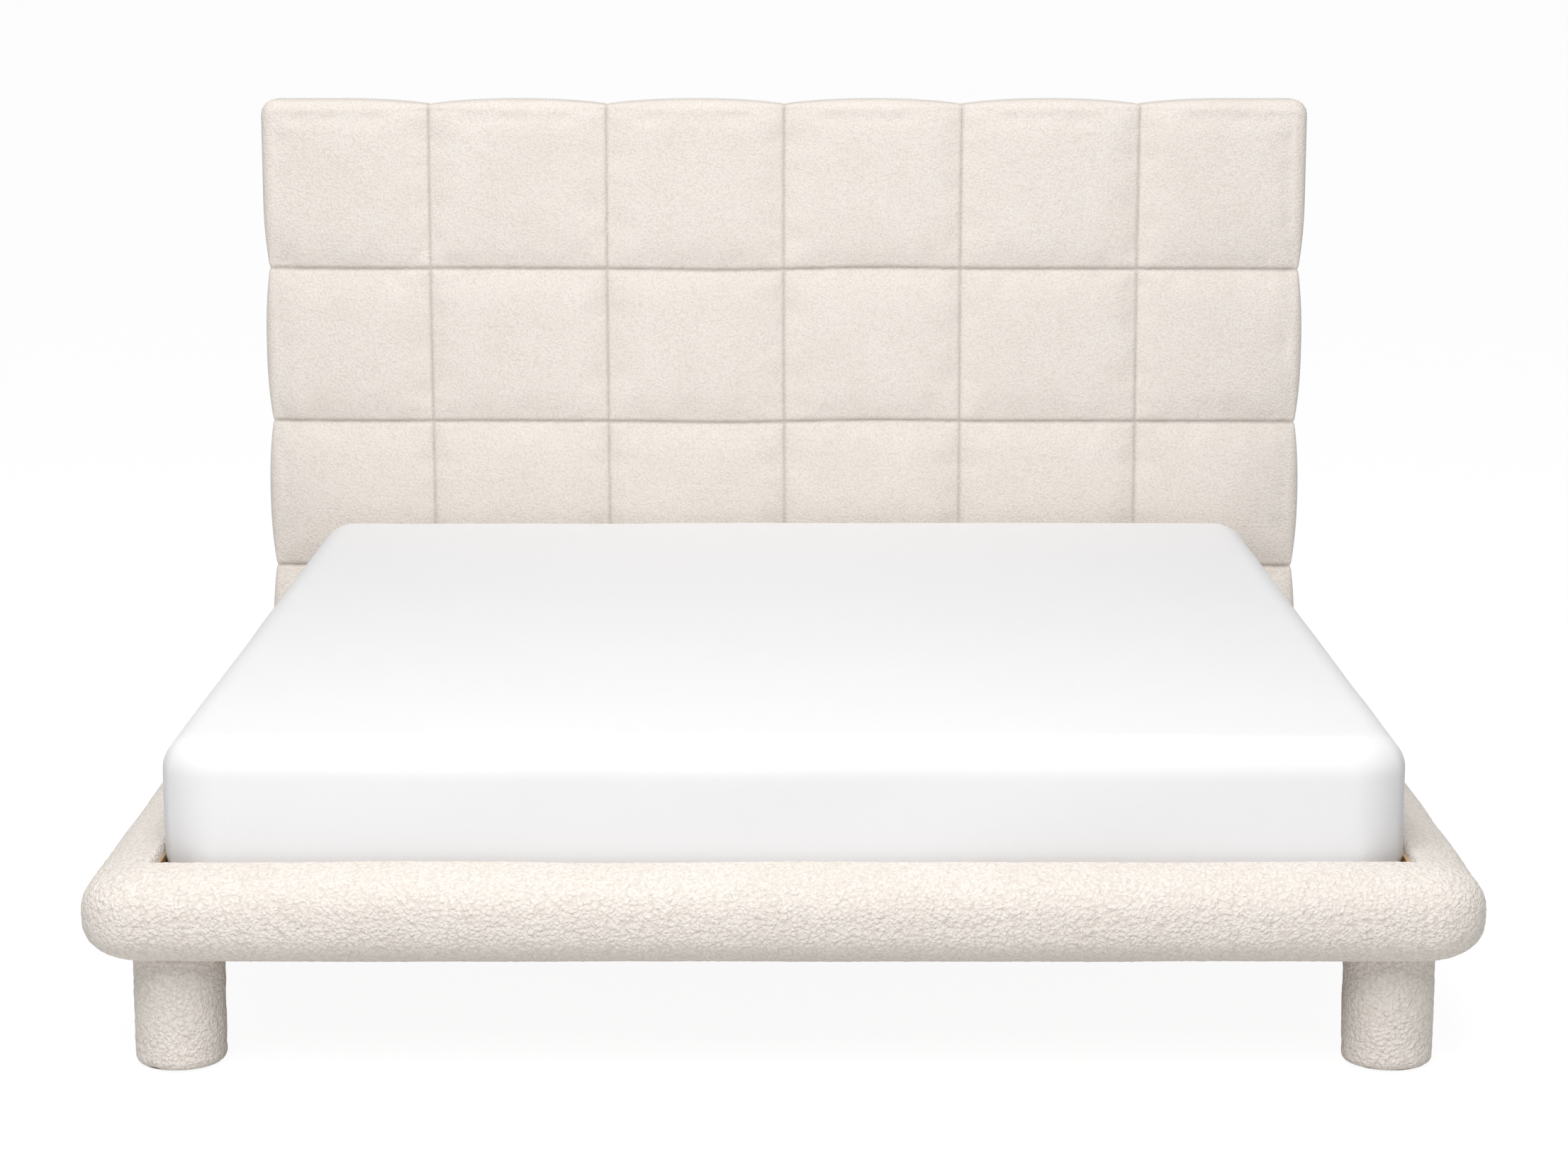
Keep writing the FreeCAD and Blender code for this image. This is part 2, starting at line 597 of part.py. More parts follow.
FRAME_WIDTH = f"(2 * {FRAME_X})"
FRAME_HEIGHT = f"({FRAME_TOP} - {FRAME_BOTTOM})"
FRAME_MID_Y = f"({FRAME_FACE} + dims.frame_depth / 2)"
FRAME_RAIL_WIDTH = f"({FRAME_WIDTH} - 2 * dims.frame_member)"
for side, sign in SIDES.items():
    stile = box(f"stile_{side}", "dims.frame_member", "dims.frame_depth", FRAME_HEIGHT,
                f"{sign} * ({FRAME_X} - dims.frame_member / 2)", FRAME_MID_Y, FRAME_BOTTOM)
    keep(stile, f"headboard_stile_{side}")
keep(box("top_member", FRAME_RAIL_WIDTH, "dims.frame_depth", "dims.frame_member", "0", FRAME_MID_Y,
         f"{FRAME_TOP} - dims.frame_member"), "headboard_top_rail")
bottom_member = box("bottom_member", FRAME_RAIL_WIDTH, "dims.frame_depth", "dims.frame_bottom_member",
                    "0", FRAME_MID_Y, FRAME_BOTTOM)
keep(cut("headboard_bottom_rail", bottom_member, headboard_bolt_holes), "headboard_bottom_rail")
panel = box("panel", FRAME_WIDTH, "dims.board_thickness", FRAME_HEIGHT,
            "0", f"{BOARD_FACE} + dims.board_thickness / 2", FRAME_BOTTOM)
keep(cut("headboard_board", panel, headboard_bolt_holes), "headboard_board")
keep(box("back_sheet", FRAME_WIDTH, "dims.cloth_thickness", FRAME_HEIGHT,
         "0", f"{CLOTH_FACE} + dims.cloth_thickness / 2", FRAME_BOTTOM), "headboard_back_cloth")

pillow = rounded_block(
    "headboard_pillow", "dims.headboard_width", HEADBOARD_DEPTH,
    "dims.headboard_top - dims.headboard_bottom",
    "0", f"{HEADBOARD_FACE} + {HEADBOARD_DEPTH} / 2", "dims.headboard_bottom",
    [("dims.headboard_corner", is_fore_and_aft), ("dims.headboard_roll", is_in_front)])
RECESS_DEPTH = f"({HEADBOARD_DEPTH} - dims.cushion_depth)"
recess = box("recess", FRAME_WIDTH, RECESS_DEPTH, FRAME_HEIGHT,
             "0", f"{BOARD_FACE} + {RECESS_DEPTH} / 2", FRAME_BOTTOM)
keep(cut("headboard_cushion", pillow, recess, headboard_bolt_holes), "headboard_cushion")

# ---- mattress and the fitted sheet over it, open underneath ----

mattress = rounded_block(
    "mattress_block", "dims.mattress_width", "dims.mattress_length", "dims.mattress_height",
    "0", MATTRESS_Y, MATTRESS_BOTTOM,
    [("dims.mattress_corner", is_upright), ("dims.mattress_edge", is_level)])
keep(mattress, "mattress")
sheet_skin = rounded_block(
    "sheet_skin", "dims.mattress_width + 2 * dims.sheet_thickness",
    "dims.mattress_length + 2 * dims.sheet_thickness", "dims.mattress_height + 2 * dims.sheet_thickness",
    "0", MATTRESS_Y, f"{MATTRESS_BOTTOM} - dims.sheet_thickness",
    [("dims.mattress_corner + dims.sheet_thickness", is_upright),
     ("dims.mattress_edge + dims.sheet_thickness", is_level)])
below_hem = box("below_hem", f"2 * {WELL_X}", f"dims.mattress_length + 2 * {SIDE_PLAY}",
                "dims.sheet_thickness + dims.sheet_hem", "0", MATTRESS_Y,
                f"{MATTRESS_BOTTOM} - dims.sheet_thickness")
keep(cut("fitted_sheet", sheet_skin, mattress, below_hem), "fitted_sheet")

# ---- check every object, then write each piece ----

doc.recompute()
failed = [item.Name for item in doc.Objects if "Invalid" in item.State or "Error" in item.State]
if failed:
    raise RuntimeError(f"objects that failed to build: {failed}")
for item in subparts:
    if item.Shape.isNull() or not item.Shape.isValid() or not item.Shape.Solids:
        raise RuntimeError(f"{item.Label} has no valid solid")
os.makedirs("parts", exist_ok=True)
for item in subparts:
    item.Shape.exportStep(f"parts/{item.Label}.step")
print(len(subparts), "pieces written")
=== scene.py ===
import math

import bmesh
import bpy
import numpy as np
from bpy.props import FloatProperty
from bpy.props import FloatVectorProperty
from bpy.props import IntProperty
from bpy.props import PointerProperty
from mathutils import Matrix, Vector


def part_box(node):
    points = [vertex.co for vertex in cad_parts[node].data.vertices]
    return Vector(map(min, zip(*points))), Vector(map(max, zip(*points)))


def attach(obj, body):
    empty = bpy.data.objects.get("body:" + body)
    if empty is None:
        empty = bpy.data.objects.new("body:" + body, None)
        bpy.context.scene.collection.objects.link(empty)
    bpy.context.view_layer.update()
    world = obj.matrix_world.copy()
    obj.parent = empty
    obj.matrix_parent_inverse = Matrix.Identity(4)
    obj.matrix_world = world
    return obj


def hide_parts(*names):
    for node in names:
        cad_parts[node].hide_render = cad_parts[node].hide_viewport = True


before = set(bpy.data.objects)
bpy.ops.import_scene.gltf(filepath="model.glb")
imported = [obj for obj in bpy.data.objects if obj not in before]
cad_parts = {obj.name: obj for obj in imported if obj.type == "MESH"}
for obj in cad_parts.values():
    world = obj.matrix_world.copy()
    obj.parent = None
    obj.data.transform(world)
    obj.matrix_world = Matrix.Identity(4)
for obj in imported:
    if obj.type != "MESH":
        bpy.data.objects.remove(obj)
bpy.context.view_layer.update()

bl_info = {
    "name": "Upholstered headboard bed",
    "version": (1, 0, 0),
    "blender": (4, 5, 0),
    "location": "View3D > Sidebar > Bed",
    "description": "Upholstery, bedding, timber and metal finishes for the headboard bed",
    "category": "Object",
}

CUSHION_LOW, CUSHION_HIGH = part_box("headboard_cushion")
BOARD_LOW, BOARD_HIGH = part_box("headboard_board")
CLOTH_LOW, CLOTH_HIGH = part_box("headboard_back_cloth")
FOOT_LOW, FOOT_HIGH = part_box("foot_rail_cover")
SIDE_LOW, SIDE_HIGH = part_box("side_rail_cover_right")
MATTRESS_LOW, MATTRESS_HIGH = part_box("mattress")
SHEET_LOW, SHEET_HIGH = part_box("fitted_sheet")
HEAD_CLEARANCE = 0.005  # keeps the bedding off the headboard's fullest cells as it lifts
MATTRESS_INSET = 0.004  # how far the mattress stays inside its sheet, in plan
MATTRESS_DROP = 0.005  # and below it, at the top
SHEET_WALL = 0.0009  # thickness of the sheet's cotton
FOLD_SINK = 0.0045  # how deep the cloth is drawn in along a stitched line
UPRIGHT_REACH = 0.1725  # from an upright line to the fullest part of its cells
LEVEL_REACH = 0.145  # from a level line to the fullest part of its cells
STAPLE_GAP = 0.06  # from one staple of the back cloth to the next
RAIL_PLAN_CORNER = 0.086  # radius of the foot rail's outer corners seen from above
RAIL_END_ROUNDING = 0.005  # radius of a rail's end where it meets the next piece


# ------------------------------------------------------------------ sizes and colours


class BedUpholstery(bpy.types.PropertyGroup):
    """Sizes and colours of the padded, cloth-covered pieces"""

    cloth_colour: FloatVectorProperty(
        name="Boucle colour",
        description="Colour of the loops on the outside of the cloth",
        subtype="COLOR",
        size=3,
        min=0.0,
        max=1.0,
        default=(0.80, 0.742, 0.686),
    )
    nub_size: FloatProperty(
        name="Nub size",
        description="Width of one curled loop of the cloth",
        subtype="DISTANCE",
        unit="LENGTH",
        default=0.0062,
        min=0.001,
        max=0.02,
    )
    cells_across: IntProperty(
        name="Cells across",
        description="How many tufted cells the headboard has from side to side",
        default=6,
        min=1,
        max=12,
    )
    cell_width: FloatProperty(
        name="Cell width",
        description="Distance between two upright stitched lines",
        subtype="DISTANCE",
        unit="LENGTH",
        default=0.345,
        min=0.05,
        max=1.0,
    )
    line_heights: FloatVectorProperty(
        name="Level stitched lines",
        description="Heights above the floor of the three level stitched lines",
        subtype="XYZ_LENGTH",
        size=3,
        default=(0.384, 0.672, 0.972),
    )
    crown: FloatProperty(
        name="Crown",
        description="How far the middle of a cell stands in front of its stitched lines",
        subtype="DISTANCE",
        unit="LENGTH",
        default=0.013,
        min=0.0,
        max=0.05,
    )
    edge_pinch: FloatProperty(
        name="Edge pinch",
        description="How far the stitched lines pull the headboard's outline in",
        subtype="DISTANCE",
        unit="LENGTH",
        default=0.010,
        min=0.0,
        max=0.03,
    )
    bolster_power: FloatProperty(
        name="Bolster fullness",
        description="Power of the rail's end-on curve: 2 is an ellipse, more is squarer",
        default=2.6,
        min=1.5,
        max=6.0,
    )
    leg_rounding: FloatProperty(
        name="Leg rounding",
        description="Height of the soft rounding at the foot of each leg",
        subtype="DISTANCE",
        unit="LENGTH",
        default=0.013,
        min=0.0,
        max=0.05,
    )


class BedBedding(bpy.types.PropertyGroup):
    """Sizes and colours of the mattress and its fitted sheet"""

    sheet_colour: FloatVectorProperty(
        name="Sheet colour",
        description="Colour of the fitted sheet",
        subtype="COLOR",
        size=3,
        min=0.0,
        max=1.0,
        default=(0.81, 0.81, 0.82),
    )
    plan_corner: FloatProperty(
        name="Corner radius",
        description="Radius of the mattress corners seen from above",
        subtype="DISTANCE",
        unit="LENGTH",
        default=0.062,
        min=0.005,
        max=0.2,
    )
    top_roll: FloatProperty(
        name="Top edge radius",
        description="Radius of the roll from the top to the sides",
        subtype="DISTANCE",
        unit="LENGTH",
        default=0.054,
        min=0.005,
        max=0.1,
    )
    bottom_roll: FloatProperty(
        name="Bottom edge radius",
        description="Radius of the turn under the mattress",
        subtype="DISTANCE",
        unit="LENGTH",
        default=0.040,
        min=0.005,
        max=0.1,
    )


class BedFrameFinish(bpy.types.PropertyGroup):
    """Colours of the timber and metal under the upholstery"""

    pine_colour: FloatVectorProperty(
        name="Pine colour",
        description="Colour of the sawn pine",
        subtype="COLOR",
        size=3,
        min=0.0,
        max=1.0,
        default=(0.60, 0.42, 0.24),
    )
    beech_colour: FloatVectorProperty(
        name="Beech colour",
        description="Colour of the turned beech",
        subtype="COLOR",
        size=3,
        min=0.0,
        max=1.0,
        default=(0.56, 0.36, 0.21),
    )
    steel_colour: FloatVectorProperty(
        name="Steel paint colour",
        description="Colour of the powder coat on the centre beam",
        subtype="COLOR",
        size=3,
        min=0.0,
        max=1.0,
        default=(0.022, 0.022, 0.024),
    )


class BedStage(bpy.types.PropertyGroup):
    """Camera, floor and light"""

    camera_distance: FloatProperty(
        name="Camera distance",
        description="From the camera to the middle of the bed's plan, along the floor",
        subtype="DISTANCE",
        unit="LENGTH",
        default=6.034,
        min=1.0,
        max=30.0,
    )
    camera_height: FloatProperty(
        name="Camera height",
        description="Height of the camera above the floor",
        subtype="DISTANCE",
        unit="LENGTH",
        default=1.6215,
        min=0.1,
        max=10.0,
    )
    camera_pitch: FloatProperty(
        name="Camera pitch",
        description="How far the camera looks down from level",
        subtype="ANGLE",
        unit="ROTATION",
        default=math.radians(10.3),
        min=-1.5,
        max=1.5,
    )
    camera_lens: FloatProperty(
        name="Focal length",
        description="Focal length on a 36 mm wide sensor, in millimetres",
        default=83.0,
        min=10.0,
        max=400.0,
    )


SETTINGS = {
    "bed_upholstery": BedUpholstery,
    "bed_bedding": BedBedding,
    "bed_frame_finish": BedFrameFinish,
    "bed_stage": BedStage,
}


# ------------------------------------------------------------------ surfaces


def grid_faces(count, rows, columns, close_columns):
    """Four-sided faces of a grid whose points start at number count, row after row.
    Each face joins point (i, j) to (i+1, j), (i+1, j+1) and (i, j+1)."""
    index = count + np.arange(rows * columns).reshape(rows, columns)
    if close_columns:
        index = np.hstack([index, index[:, :1]])
    corners = [index[:-1, :-1], index[1:, :-1], index[1:, 1:], index[:-1, 1:]]
    return np.stack(corners, -1).reshape(-1, 4)


def bare_mesh(name, grids):
    """One mesh from several grids of points, its points in the grids' own order.
    grids is a list of (points, cloth, seam, close_columns): points is rows x columns x 3, cloth is
    rows x columns x 2 in metres along the cloth, or None, seam is rows x columns from 0 to 1
    where a stitched line runs, or None, and close_columns joins the last column to the first."""
    all_points = []
    all_cloth = []
    all_seam = []
    all_faces = []
    count = 0
    for points, cloth, seam, close_columns in grids:
        rows, columns = points.shape[:2]
        if cloth is None:
            cloth = points[:, :, :2]
        if seam is None:
            seam = np.zeros((rows, columns))
        all_points.append(points.reshape(-1, 3))
        all_cloth.append(cloth.reshape(-1, 2))
        all_seam.append(np.broadcast_to(seam, (rows, columns)).reshape(-1))
        all_faces.append(grid_faces(count, rows, columns, close_columns))
        count += rows * columns
    points = np.concatenate(all_points)
    cloth = np.concatenate(all_cloth)
    faces = np.concatenate(all_faces)
    mesh = bpy.data.meshes.new(name)
    mesh.vertices.add(len(points))
    mesh.vertices.foreach_set("co", points.astype(np.float32).ravel())
    mesh.loops.add(faces.size)
    mesh.loops.foreach_set("vertex_index", faces.astype(np.int32).ravel())
    mesh.polygons.add(len(faces))
    mesh.polygons.foreach_set("loop_start", np.arange(0, faces.size, 4, dtype=np.int32))
    mesh.update(calc_edges=True)
    layer = mesh.uv_layers.new(name="cloth")
    layer.data.foreach_set("uv", cloth[faces.ravel()].astype(np.float32).ravel())
    # the seam attribute tells the boucle material where to paint shade along the stitched lines
    mark = mesh.attributes.new("seam", "FLOAT", "POINT")
    mark.data.foreach_set("value", np.concatenate(all_seam).astype(np.float32))
    return mesh


def put_surfaces(name, grids, weld=2e-5, outward=True):
    """A smooth-shaded object from several grids, welded where they meet."""
    mesh = bare_mesh(name, grids)
    tidy = bmesh.new()
    tidy.from_mesh(mesh)
    bmesh.ops.remove_doubles(tidy, verts=tidy.verts, dist=weld)
    bmesh.ops.dissolve_degenerate(tidy, edges=tidy.edges, dist=1e-7)
    if outward:
        bmesh.ops.recalc_face_normals(tidy, faces=tidy.faces)
    tidy.to_mesh(mesh)
    tidy.free()
    mesh.validate()
    mesh.polygons.foreach_set("use_smooth", np.ones(len(mesh.polygons), dtype=bool))
    obj = bpy.data.objects.new(name, mesh)
    bpy.context.scene.collection.objects.link(obj)
    return obj


def puffed(points, held, pressure, slack, cap):
    """How far each point of a grid moves when the cloth is blown up between its held points.
    Blender's cloth runs on a trial mesh for 20 frames with no gravity; slack is the spare cloth
    as a share of its size, and no point moves further than cap."""
    scene = bpy.context.scene
    mesh = bare_mesh("cloth_trial", [(points, None, None, False)])
    trial = bpy.data.objects.new("cloth_trial", mesh)
    scene.collection.objects.link(trial)
    group = trial.vertex_groups.new(name="held")
    group.add(np.flatnonzero(held.ravel()).tolist(), 1.0, "REPLACE")
    cloth = trial.modifiers.new("cloth", "CLOTH")
    cloth.settings.quality = 6
    cloth.settings.mass = 0.25
    cloth.settings.air_damping = 6.0
    cloth.settings.tension_stiffness = 18.0
    cloth.settings.compression_stiffness = 18.0
    cloth.settings.shear_stiffness = 6.0
    cloth.settings.bending_stiffness = 0.4
    cloth.settings.vertex_group_mass = "held"
    cloth.settings.shrink_min = -slack
    cloth.settings.use_pressure = True
    cloth.settings.uniform_pressure_force = pressure
    cloth.settings.effector_weights.gravity = 0.0
    cloth.collision_settings.use_collision = False
    cloth.collision_settings.use_self_collision = False
    for number in range(1, 21):
        scene.frame_set(number)
    seen = trial.evaluated_get(bpy.context.evaluated_depsgraph_get())
    moved = np.empty(points.size)
    seen.data.vertices.foreach_get("co", moved)
    scene.frame_set(1)
    bpy.data.objects.remove(trial)
    bpy.data.meshes.remove(mesh)
    shift = moved.reshape(points.shape) - points
    size = np.linalg.norm(shift, axis=-1, keepdims=True)
    return shift * np.minimum(1, cap / np.maximum(size, 1e-9))


def finer(values, times, rounds):
    """A grid of values with times as many steps each way: read off in between along each axis,
    then smoothed by (1, 2, 1) / 4 so that the coarse steps don't show."""
    for axis in (0, 1):
        values = np.moveaxis(values, axis, 0)
        count = len(values)
        wanted = np.arange((count - 1) * times + 1) / times
        low = np.minimum(wanted.astype(int), count - 2)
        share = (wanted - low)[:, None, None]
        values = values[low] * (1 - share) + values[low + 1] * share
        for _ in range(rounds):
            inside = (values[:-2] + 2 * values[1:-1] + values[2:]) / 4
            values = np.concatenate([values[:1], inside, values[-1:]])
        values = np.moveaxis(values, 0, axis)
    return values


def soft_swell(points, size, seed, waves=26):
    """A slow random swell from about -1 to 1 at each point: the mean of many cosine waves,
    each about size long, in random directions and with random starts."""
    random = np.random.default_rng(seed)
    way = random.normal(size=(waves, 3))
    way /= np.linalg.norm(way, axis=1)[:, None]
    length = size * random.uniform(0.7, 1.5, waves)
    start = random.uniform(0, 2 * math.pi, waves)
    flat = points.reshape(-1, 3)
    total = np.zeros(len(flat))
    for one_way, one_length, one_start in zip(way, length, start):
        total += np.cos(flat @ (one_way * 2 * math.pi / one_length) + one_start)
    return (total * math.sqrt(0.5 / waves)).reshape(points.shape[:-1])


def evenly(line, count):
    """The same open line of points with count points at equal distances along it."""
    step = np.linalg.norm(np.diff(line, axis=0), axis=1)
    along = np.concatenate([[0], np.cumsum(step)])
    wanted = np.linspace(0, along[-1], count)
    return np.stack([np.interp(wanted, along, line[:, k]) for k in range(line.shape[1])], 1)


def grid_normals(points, close_columns):
    """Unit normals of a grid: the cross product of the steps to the neighbours each way."""
    down = np.gradient(points, axis=0)
    if close_columns:
        across = (np.roll(points, -1, 1) - np.roll(points, 1, 1)) / 2
    else:
        across = np.gradient(points, axis=1)
    normal = np.cross(down, across)
    size = np.linalg.norm(normal, axis=2, keepdims=True)
    return normal / np.maximum(size, 1e-12)


def seam_spacing(lines, count):
    """Places along a row of cells, count in each, closer together beside the stitched lines.
    Between two lines the share runs half evenly and half as (1 - cos(pi t)) / 2."""
    share = np.linspace(0, 1, count + 1)[:-1]
    share = 0.45 * share + 0.55 * (1 - np.cos(math.pi * share)) / 2
    places = [low + (high - low) * share for low, high in zip(lines[:-1], lines[1:])]
    return np.concatenate(places + [[lines[-1]]])


def round_corners(x, z, half_width, half_height, radius):
    """Presses a rectangular grid's corners into quarter circles of that radius.
    In each corner square, (u, v) becomes (u sqrt(1 - v^2 / 2), v sqrt(1 - u^2 / 2))."""
    inner_x = np.clip(x, radius - half_width, half_width - radius)
    inner_z = np.clip(z, radius - half_height, half_height - radius)
    u = (x - inner_x) / radius
    v = (z - inner_z) / radius
    new_x = inner_x + radius * u * np.sqrt(1 - v**2 / 2)
    new_z = inner_z + radius * v * np.sqrt(1 - u**2 / 2)
    return new_x, new_z


def border(grid):
    """The points round the outside of a grid, in order, each once."""
    sides = [grid[0, :-1], grid[:-1, -1], grid[-1, :0:-1], grid[:0:-1, 0]]
    return np.concatenate(sides)


# ------------------------------------------------------------------ shader building


def new_group(name, settings, outputs):
    """An empty shader node group that takes a Vector and the named numbers of settings, and
    puts out the named numbers of outputs."""
    group = bpy.data.node_groups.new(name, "ShaderNodeTree")
    group.interface.new_socket("Vector", in_out="INPUT", socket_type="NodeSocketVector")
    for label, default in settings.items():
        socket = group.interface.new_socket(label, in_out="INPUT", socket_type="NodeSocketFloat")
        socket.default_value = default
    for label in outputs:
        group.interface.new_socket(label, in_out="OUTPUT", socket_type="NodeSocketFloat")
    enter = group.nodes.new("NodeGroupInput")
    leave = group.nodes.new("NodeGroupOutput")
    return group, enter, leave


def put_out(group, leave, **values):
    """Links each value to the group's output of that name."""
    for label, value in values.items():
        group.links.new(value, leave.inputs[label])


def mapped(tree, vector, scale=(1.0, 1.0, 1.0), rotation=(0.0, 0.0, 0.0)):
    """The vector, stretched and turned by a Mapping node."""
    node = tree.nodes.new("ShaderNodeMapping")
    node.inputs["Scale"].default_value = scale
    node.inputs["Rotation"].default_value = rotation
    tree.links.new(vector, node.inputs["Vector"])
    return node.outputs[0]


def add_node(tree, kind, settings=None, **values):
    """A node with its settings, and with values put on its named input sockets."""
    node = tree.nodes.new(kind)
    for key, value in (settings or {}).items():
        setattr(node, key, value)
    for key, value in values.items():
        node.inputs[key.replace("_", " ")].default_value = value
    return node


def math_node(tree, operation, first, second=None, third=None):
    """A Math node: each of its inputs is a socket to link or a number."""
    node = tree.nodes.new("ShaderNodeMath")
    node.operation = operation
    for place, value in enumerate([first, second, third]):
        if value is None:
            continue
        if isinstance(value, bpy.types.NodeSocket):
            tree.links.new(value, node.inputs[place])
        else:
            node.inputs[place].default_value = value
    return node.outputs[0]


def blend_colours(tree, factor, first, second, kind="MIX"):
    """A colour Mix node between two colours or sockets."""
    node = tree.nodes.new("ShaderNodeMix")
    node.data_type = "RGBA"
    node.blend_type = kind
    for place, value in [(0, factor), (6, first), (7, second)]:
        if isinstance(value, bpy.types.NodeSocket):
            tree.links.new(value, node.inputs[place])
        elif place == 0:
            node.inputs[place].default_value = value
        else:
            node.inputs[place].default_value = (*value[:3], 1.0)
    return node.outputs[2]


def spread(tree, value, from_low, from_high, to_low, to_high):
    """A Map Range node that keeps inside its ends."""
    node = tree.nodes.new("ShaderNodeMapRange")
    node.clamp = True
    tree.links.new(value, node.inputs["Value"])
    node.inputs["From Min"].default_value = from_low
    node.inputs["From Max"].default_value = from_high
    node.inputs["To Min"].default_value = to_low
    node.inputs["To Max"].default_value = to_high
    return node.outputs["Result"]


def vector_source(tree, cloth):
    """Object coordinates, or the piece's own cloth coordinates."""
    if cloth:
        node = tree.nodes.new("ShaderNodeUVMap")
        node.uv_map = "cloth"
        return node.outputs["UV"]
    return tree.nodes.new("ShaderNodeTexCoord").outputs["Object"]


def noise(tree, vector, scale, detail=2.0, roughness=0.5, distortion=0.0):
    """A Noise texture's value and colour sockets."""
    node = tree.nodes.new("ShaderNodeTexNoise")
    tree.links.new(vector, node.inputs["Vector"])
    if isinstance(scale, bpy.types.NodeSocket):
        tree.links.new(scale, node.inputs["Scale"])
    else:
        node.inputs["Scale"].default_value = scale
    node.inputs["Detail"].default_value = detail
    node.inputs["Roughness"].default_value = roughness
    node.inputs["Distortion"].default_value = distortion
    return node.outputs[0], node.outputs[1]


def boucle_group():
    """Curled loops of boucle: rounded cells of two sizes, bent out of line by noise.
    Height is high on a loop, Patch varies slowly, and the crevice output is 1 between loops, the
    mask for painted shade there."""
    settings = {"Loops per metre": 180.0, "Curl": 0.004}
    outputs = ("Height", "Crevice", "Patch")
    group, enter, leave = new_group("Boucle loops", settings, outputs)
    vector = enter.outputs["Vector"]
    loops = enter.outputs["Loops per metre"]
    bend_scale = math_node(group, "MULTIPLY", loops, 0.45)
    _, bend = noise(group, vector, bend_scale, 1.0)
    centred = add_node(group, "ShaderNodeVectorMath", {"operation": "SUBTRACT"})
    centred.inputs[1].default_value = (0.5, 0.5, 0.5)
    group.links.new(bend, centred.inputs[0])
    scaled = add_node(group, "ShaderNodeVectorMath", {"operation": "SCALE"})
    group.links.new(centred.outputs[0], scaled.inputs[0])
    group.links.new(enter.outputs["Curl"], scaled.inputs["Scale"])
    bent = add_node(group, "ShaderNodeVectorMath", {"operation": "ADD"})
    group.links.new(vector, bent.inputs[0])
    group.links.new(scaled.outputs[0], bent.inputs[1])
    distances = []
    for share, softness in [(1.0, 0.30), (2.15, 0.15)]:
        cells = add_node(group, "ShaderNodeTexVoronoi", {"feature": "SMOOTH_F1"})
        cells.inputs["Smoothness"].default_value = softness
        group.links.new(bent.outputs[0], cells.inputs["Vector"])
        group.links.new(math_node(group, "MULTIPLY", loops, share), cells.inputs["Scale"])
        distances.append(cells.outputs["Distance"])
    large = math_node(group, "SUBTRACT", 1.0, distances[0])
    small = math_node(group, "SUBTRACT", 1.0, distances[1])
    tuft_scale = math_node(group, "MULTIPLY", loops, 0.28)
    tuft, _ = noise(group, vector, tuft_scale, 2.0)
    height = math_node(group, "MULTIPLY_ADD", large, 0.55, 0.0)
    height = math_node(group, "MULTIPLY_ADD", small, 0.25, height)
    height = math_node(group, "MULTIPLY_ADD", tuft, 0.45, height)
    # crevice mask: 1 where the loops meet, used only to paint shade into the cloth's colour
    deep = math_node(group, "MULTIPLY_ADD", distances[1], 0.5, distances[0])
    crevice_shade = spread(group, deep, 0.55, 1.05, 0.0, 1.0)
    patch_scale = math_node(group, "MULTIPLY", loops, 0.05)
    patch, _ = noise(group, vector, patch_scale, 3.0)
    put_out(group, leave, Height=height, Crevice=crevice_shade, Patch=patch)
    return group


def weave_group():
    """Plain weave on cloth coordinates in metres: warp and weft waves that take turns on top.
    Height is the threads' relief, Thread their uneven tone."""
    settings = {"Threads per metre": 1500.0}
    group, enter, leave = new_group("Plain weave", settings, ("Height", "Thread"))
    split = group.nodes.new("ShaderNodeSeparateXYZ")
    group.links.new(enter.outputs["Vector"], split.inputs[0])
    waves = []
    for axis in ("X", "Y"):
        turns = math_node(group, "MULTIPLY", split.outputs[axis], 2 * math.pi)
        turns = math_node(group, "MULTIPLY", turns, enter.outputs["Threads per metre"])
        waves.append(math_node(group, "SINE", turns))
    product = math_node(group, "MULTIPLY", waves[0], waves[1])
    height = math_node(group, "MULTIPLY_ADD", product, 0.5, 0.5)
    stretched = mapped(group, enter.outputs["Vector"], (1.0, 0.06, 1.0))
    slub, _ = noise(group, stretched, 900.0, 3.0)
    put_out(group, leave, Height=height, Thread=slub)
    return group


def timber_group():
    """Timber whose grain runs along Z of its vector: bands of rings bent by noise and fine fibres
    stretched along the grain. Ring is the band tone, Fibre the streaks, Height relief."""
    settings = {"Rings per metre": 90.0}
    group, enter, leave = new_group("Timber grain", settings, ("Ring", "Fibre", "Height"))
    long_way = mapped(group, enter.outputs["Vector"], (1.0, 1.0, 0.07))
    wander, _ = noise(group, long_way, 9.0, 3.0)
    split = group.nodes.new("ShaderNodeSeparateXYZ")
    group.links.new(long_way, split.inputs[0])
    across = math_node(group, "MULTIPLY_ADD", split.outputs["X"], 0.8, split.outputs["Y"])
    across = math_node(group, "MULTIPLY_ADD", wander, 0.06, across)
    turns = math_node(group, "MULTIPLY", across, enter.outputs["Rings per metre"])
    part = math_node(group, "FRACT", turns)
    ring = math_node(group, "POWER", part, 1.8)
    fine = mapped(group, enter.outputs["Vector"], (1.0, 1.0, 0.025))
    fibre, _ = noise(group, fine, 700.0, 3.0, 0.6)
    height = math_node(group, "MULTIPLY_ADD", ring, 0.35, fibre)
    put_out(group, leave, Ring=ring, Fibre=fibre, Height=height)
    return group


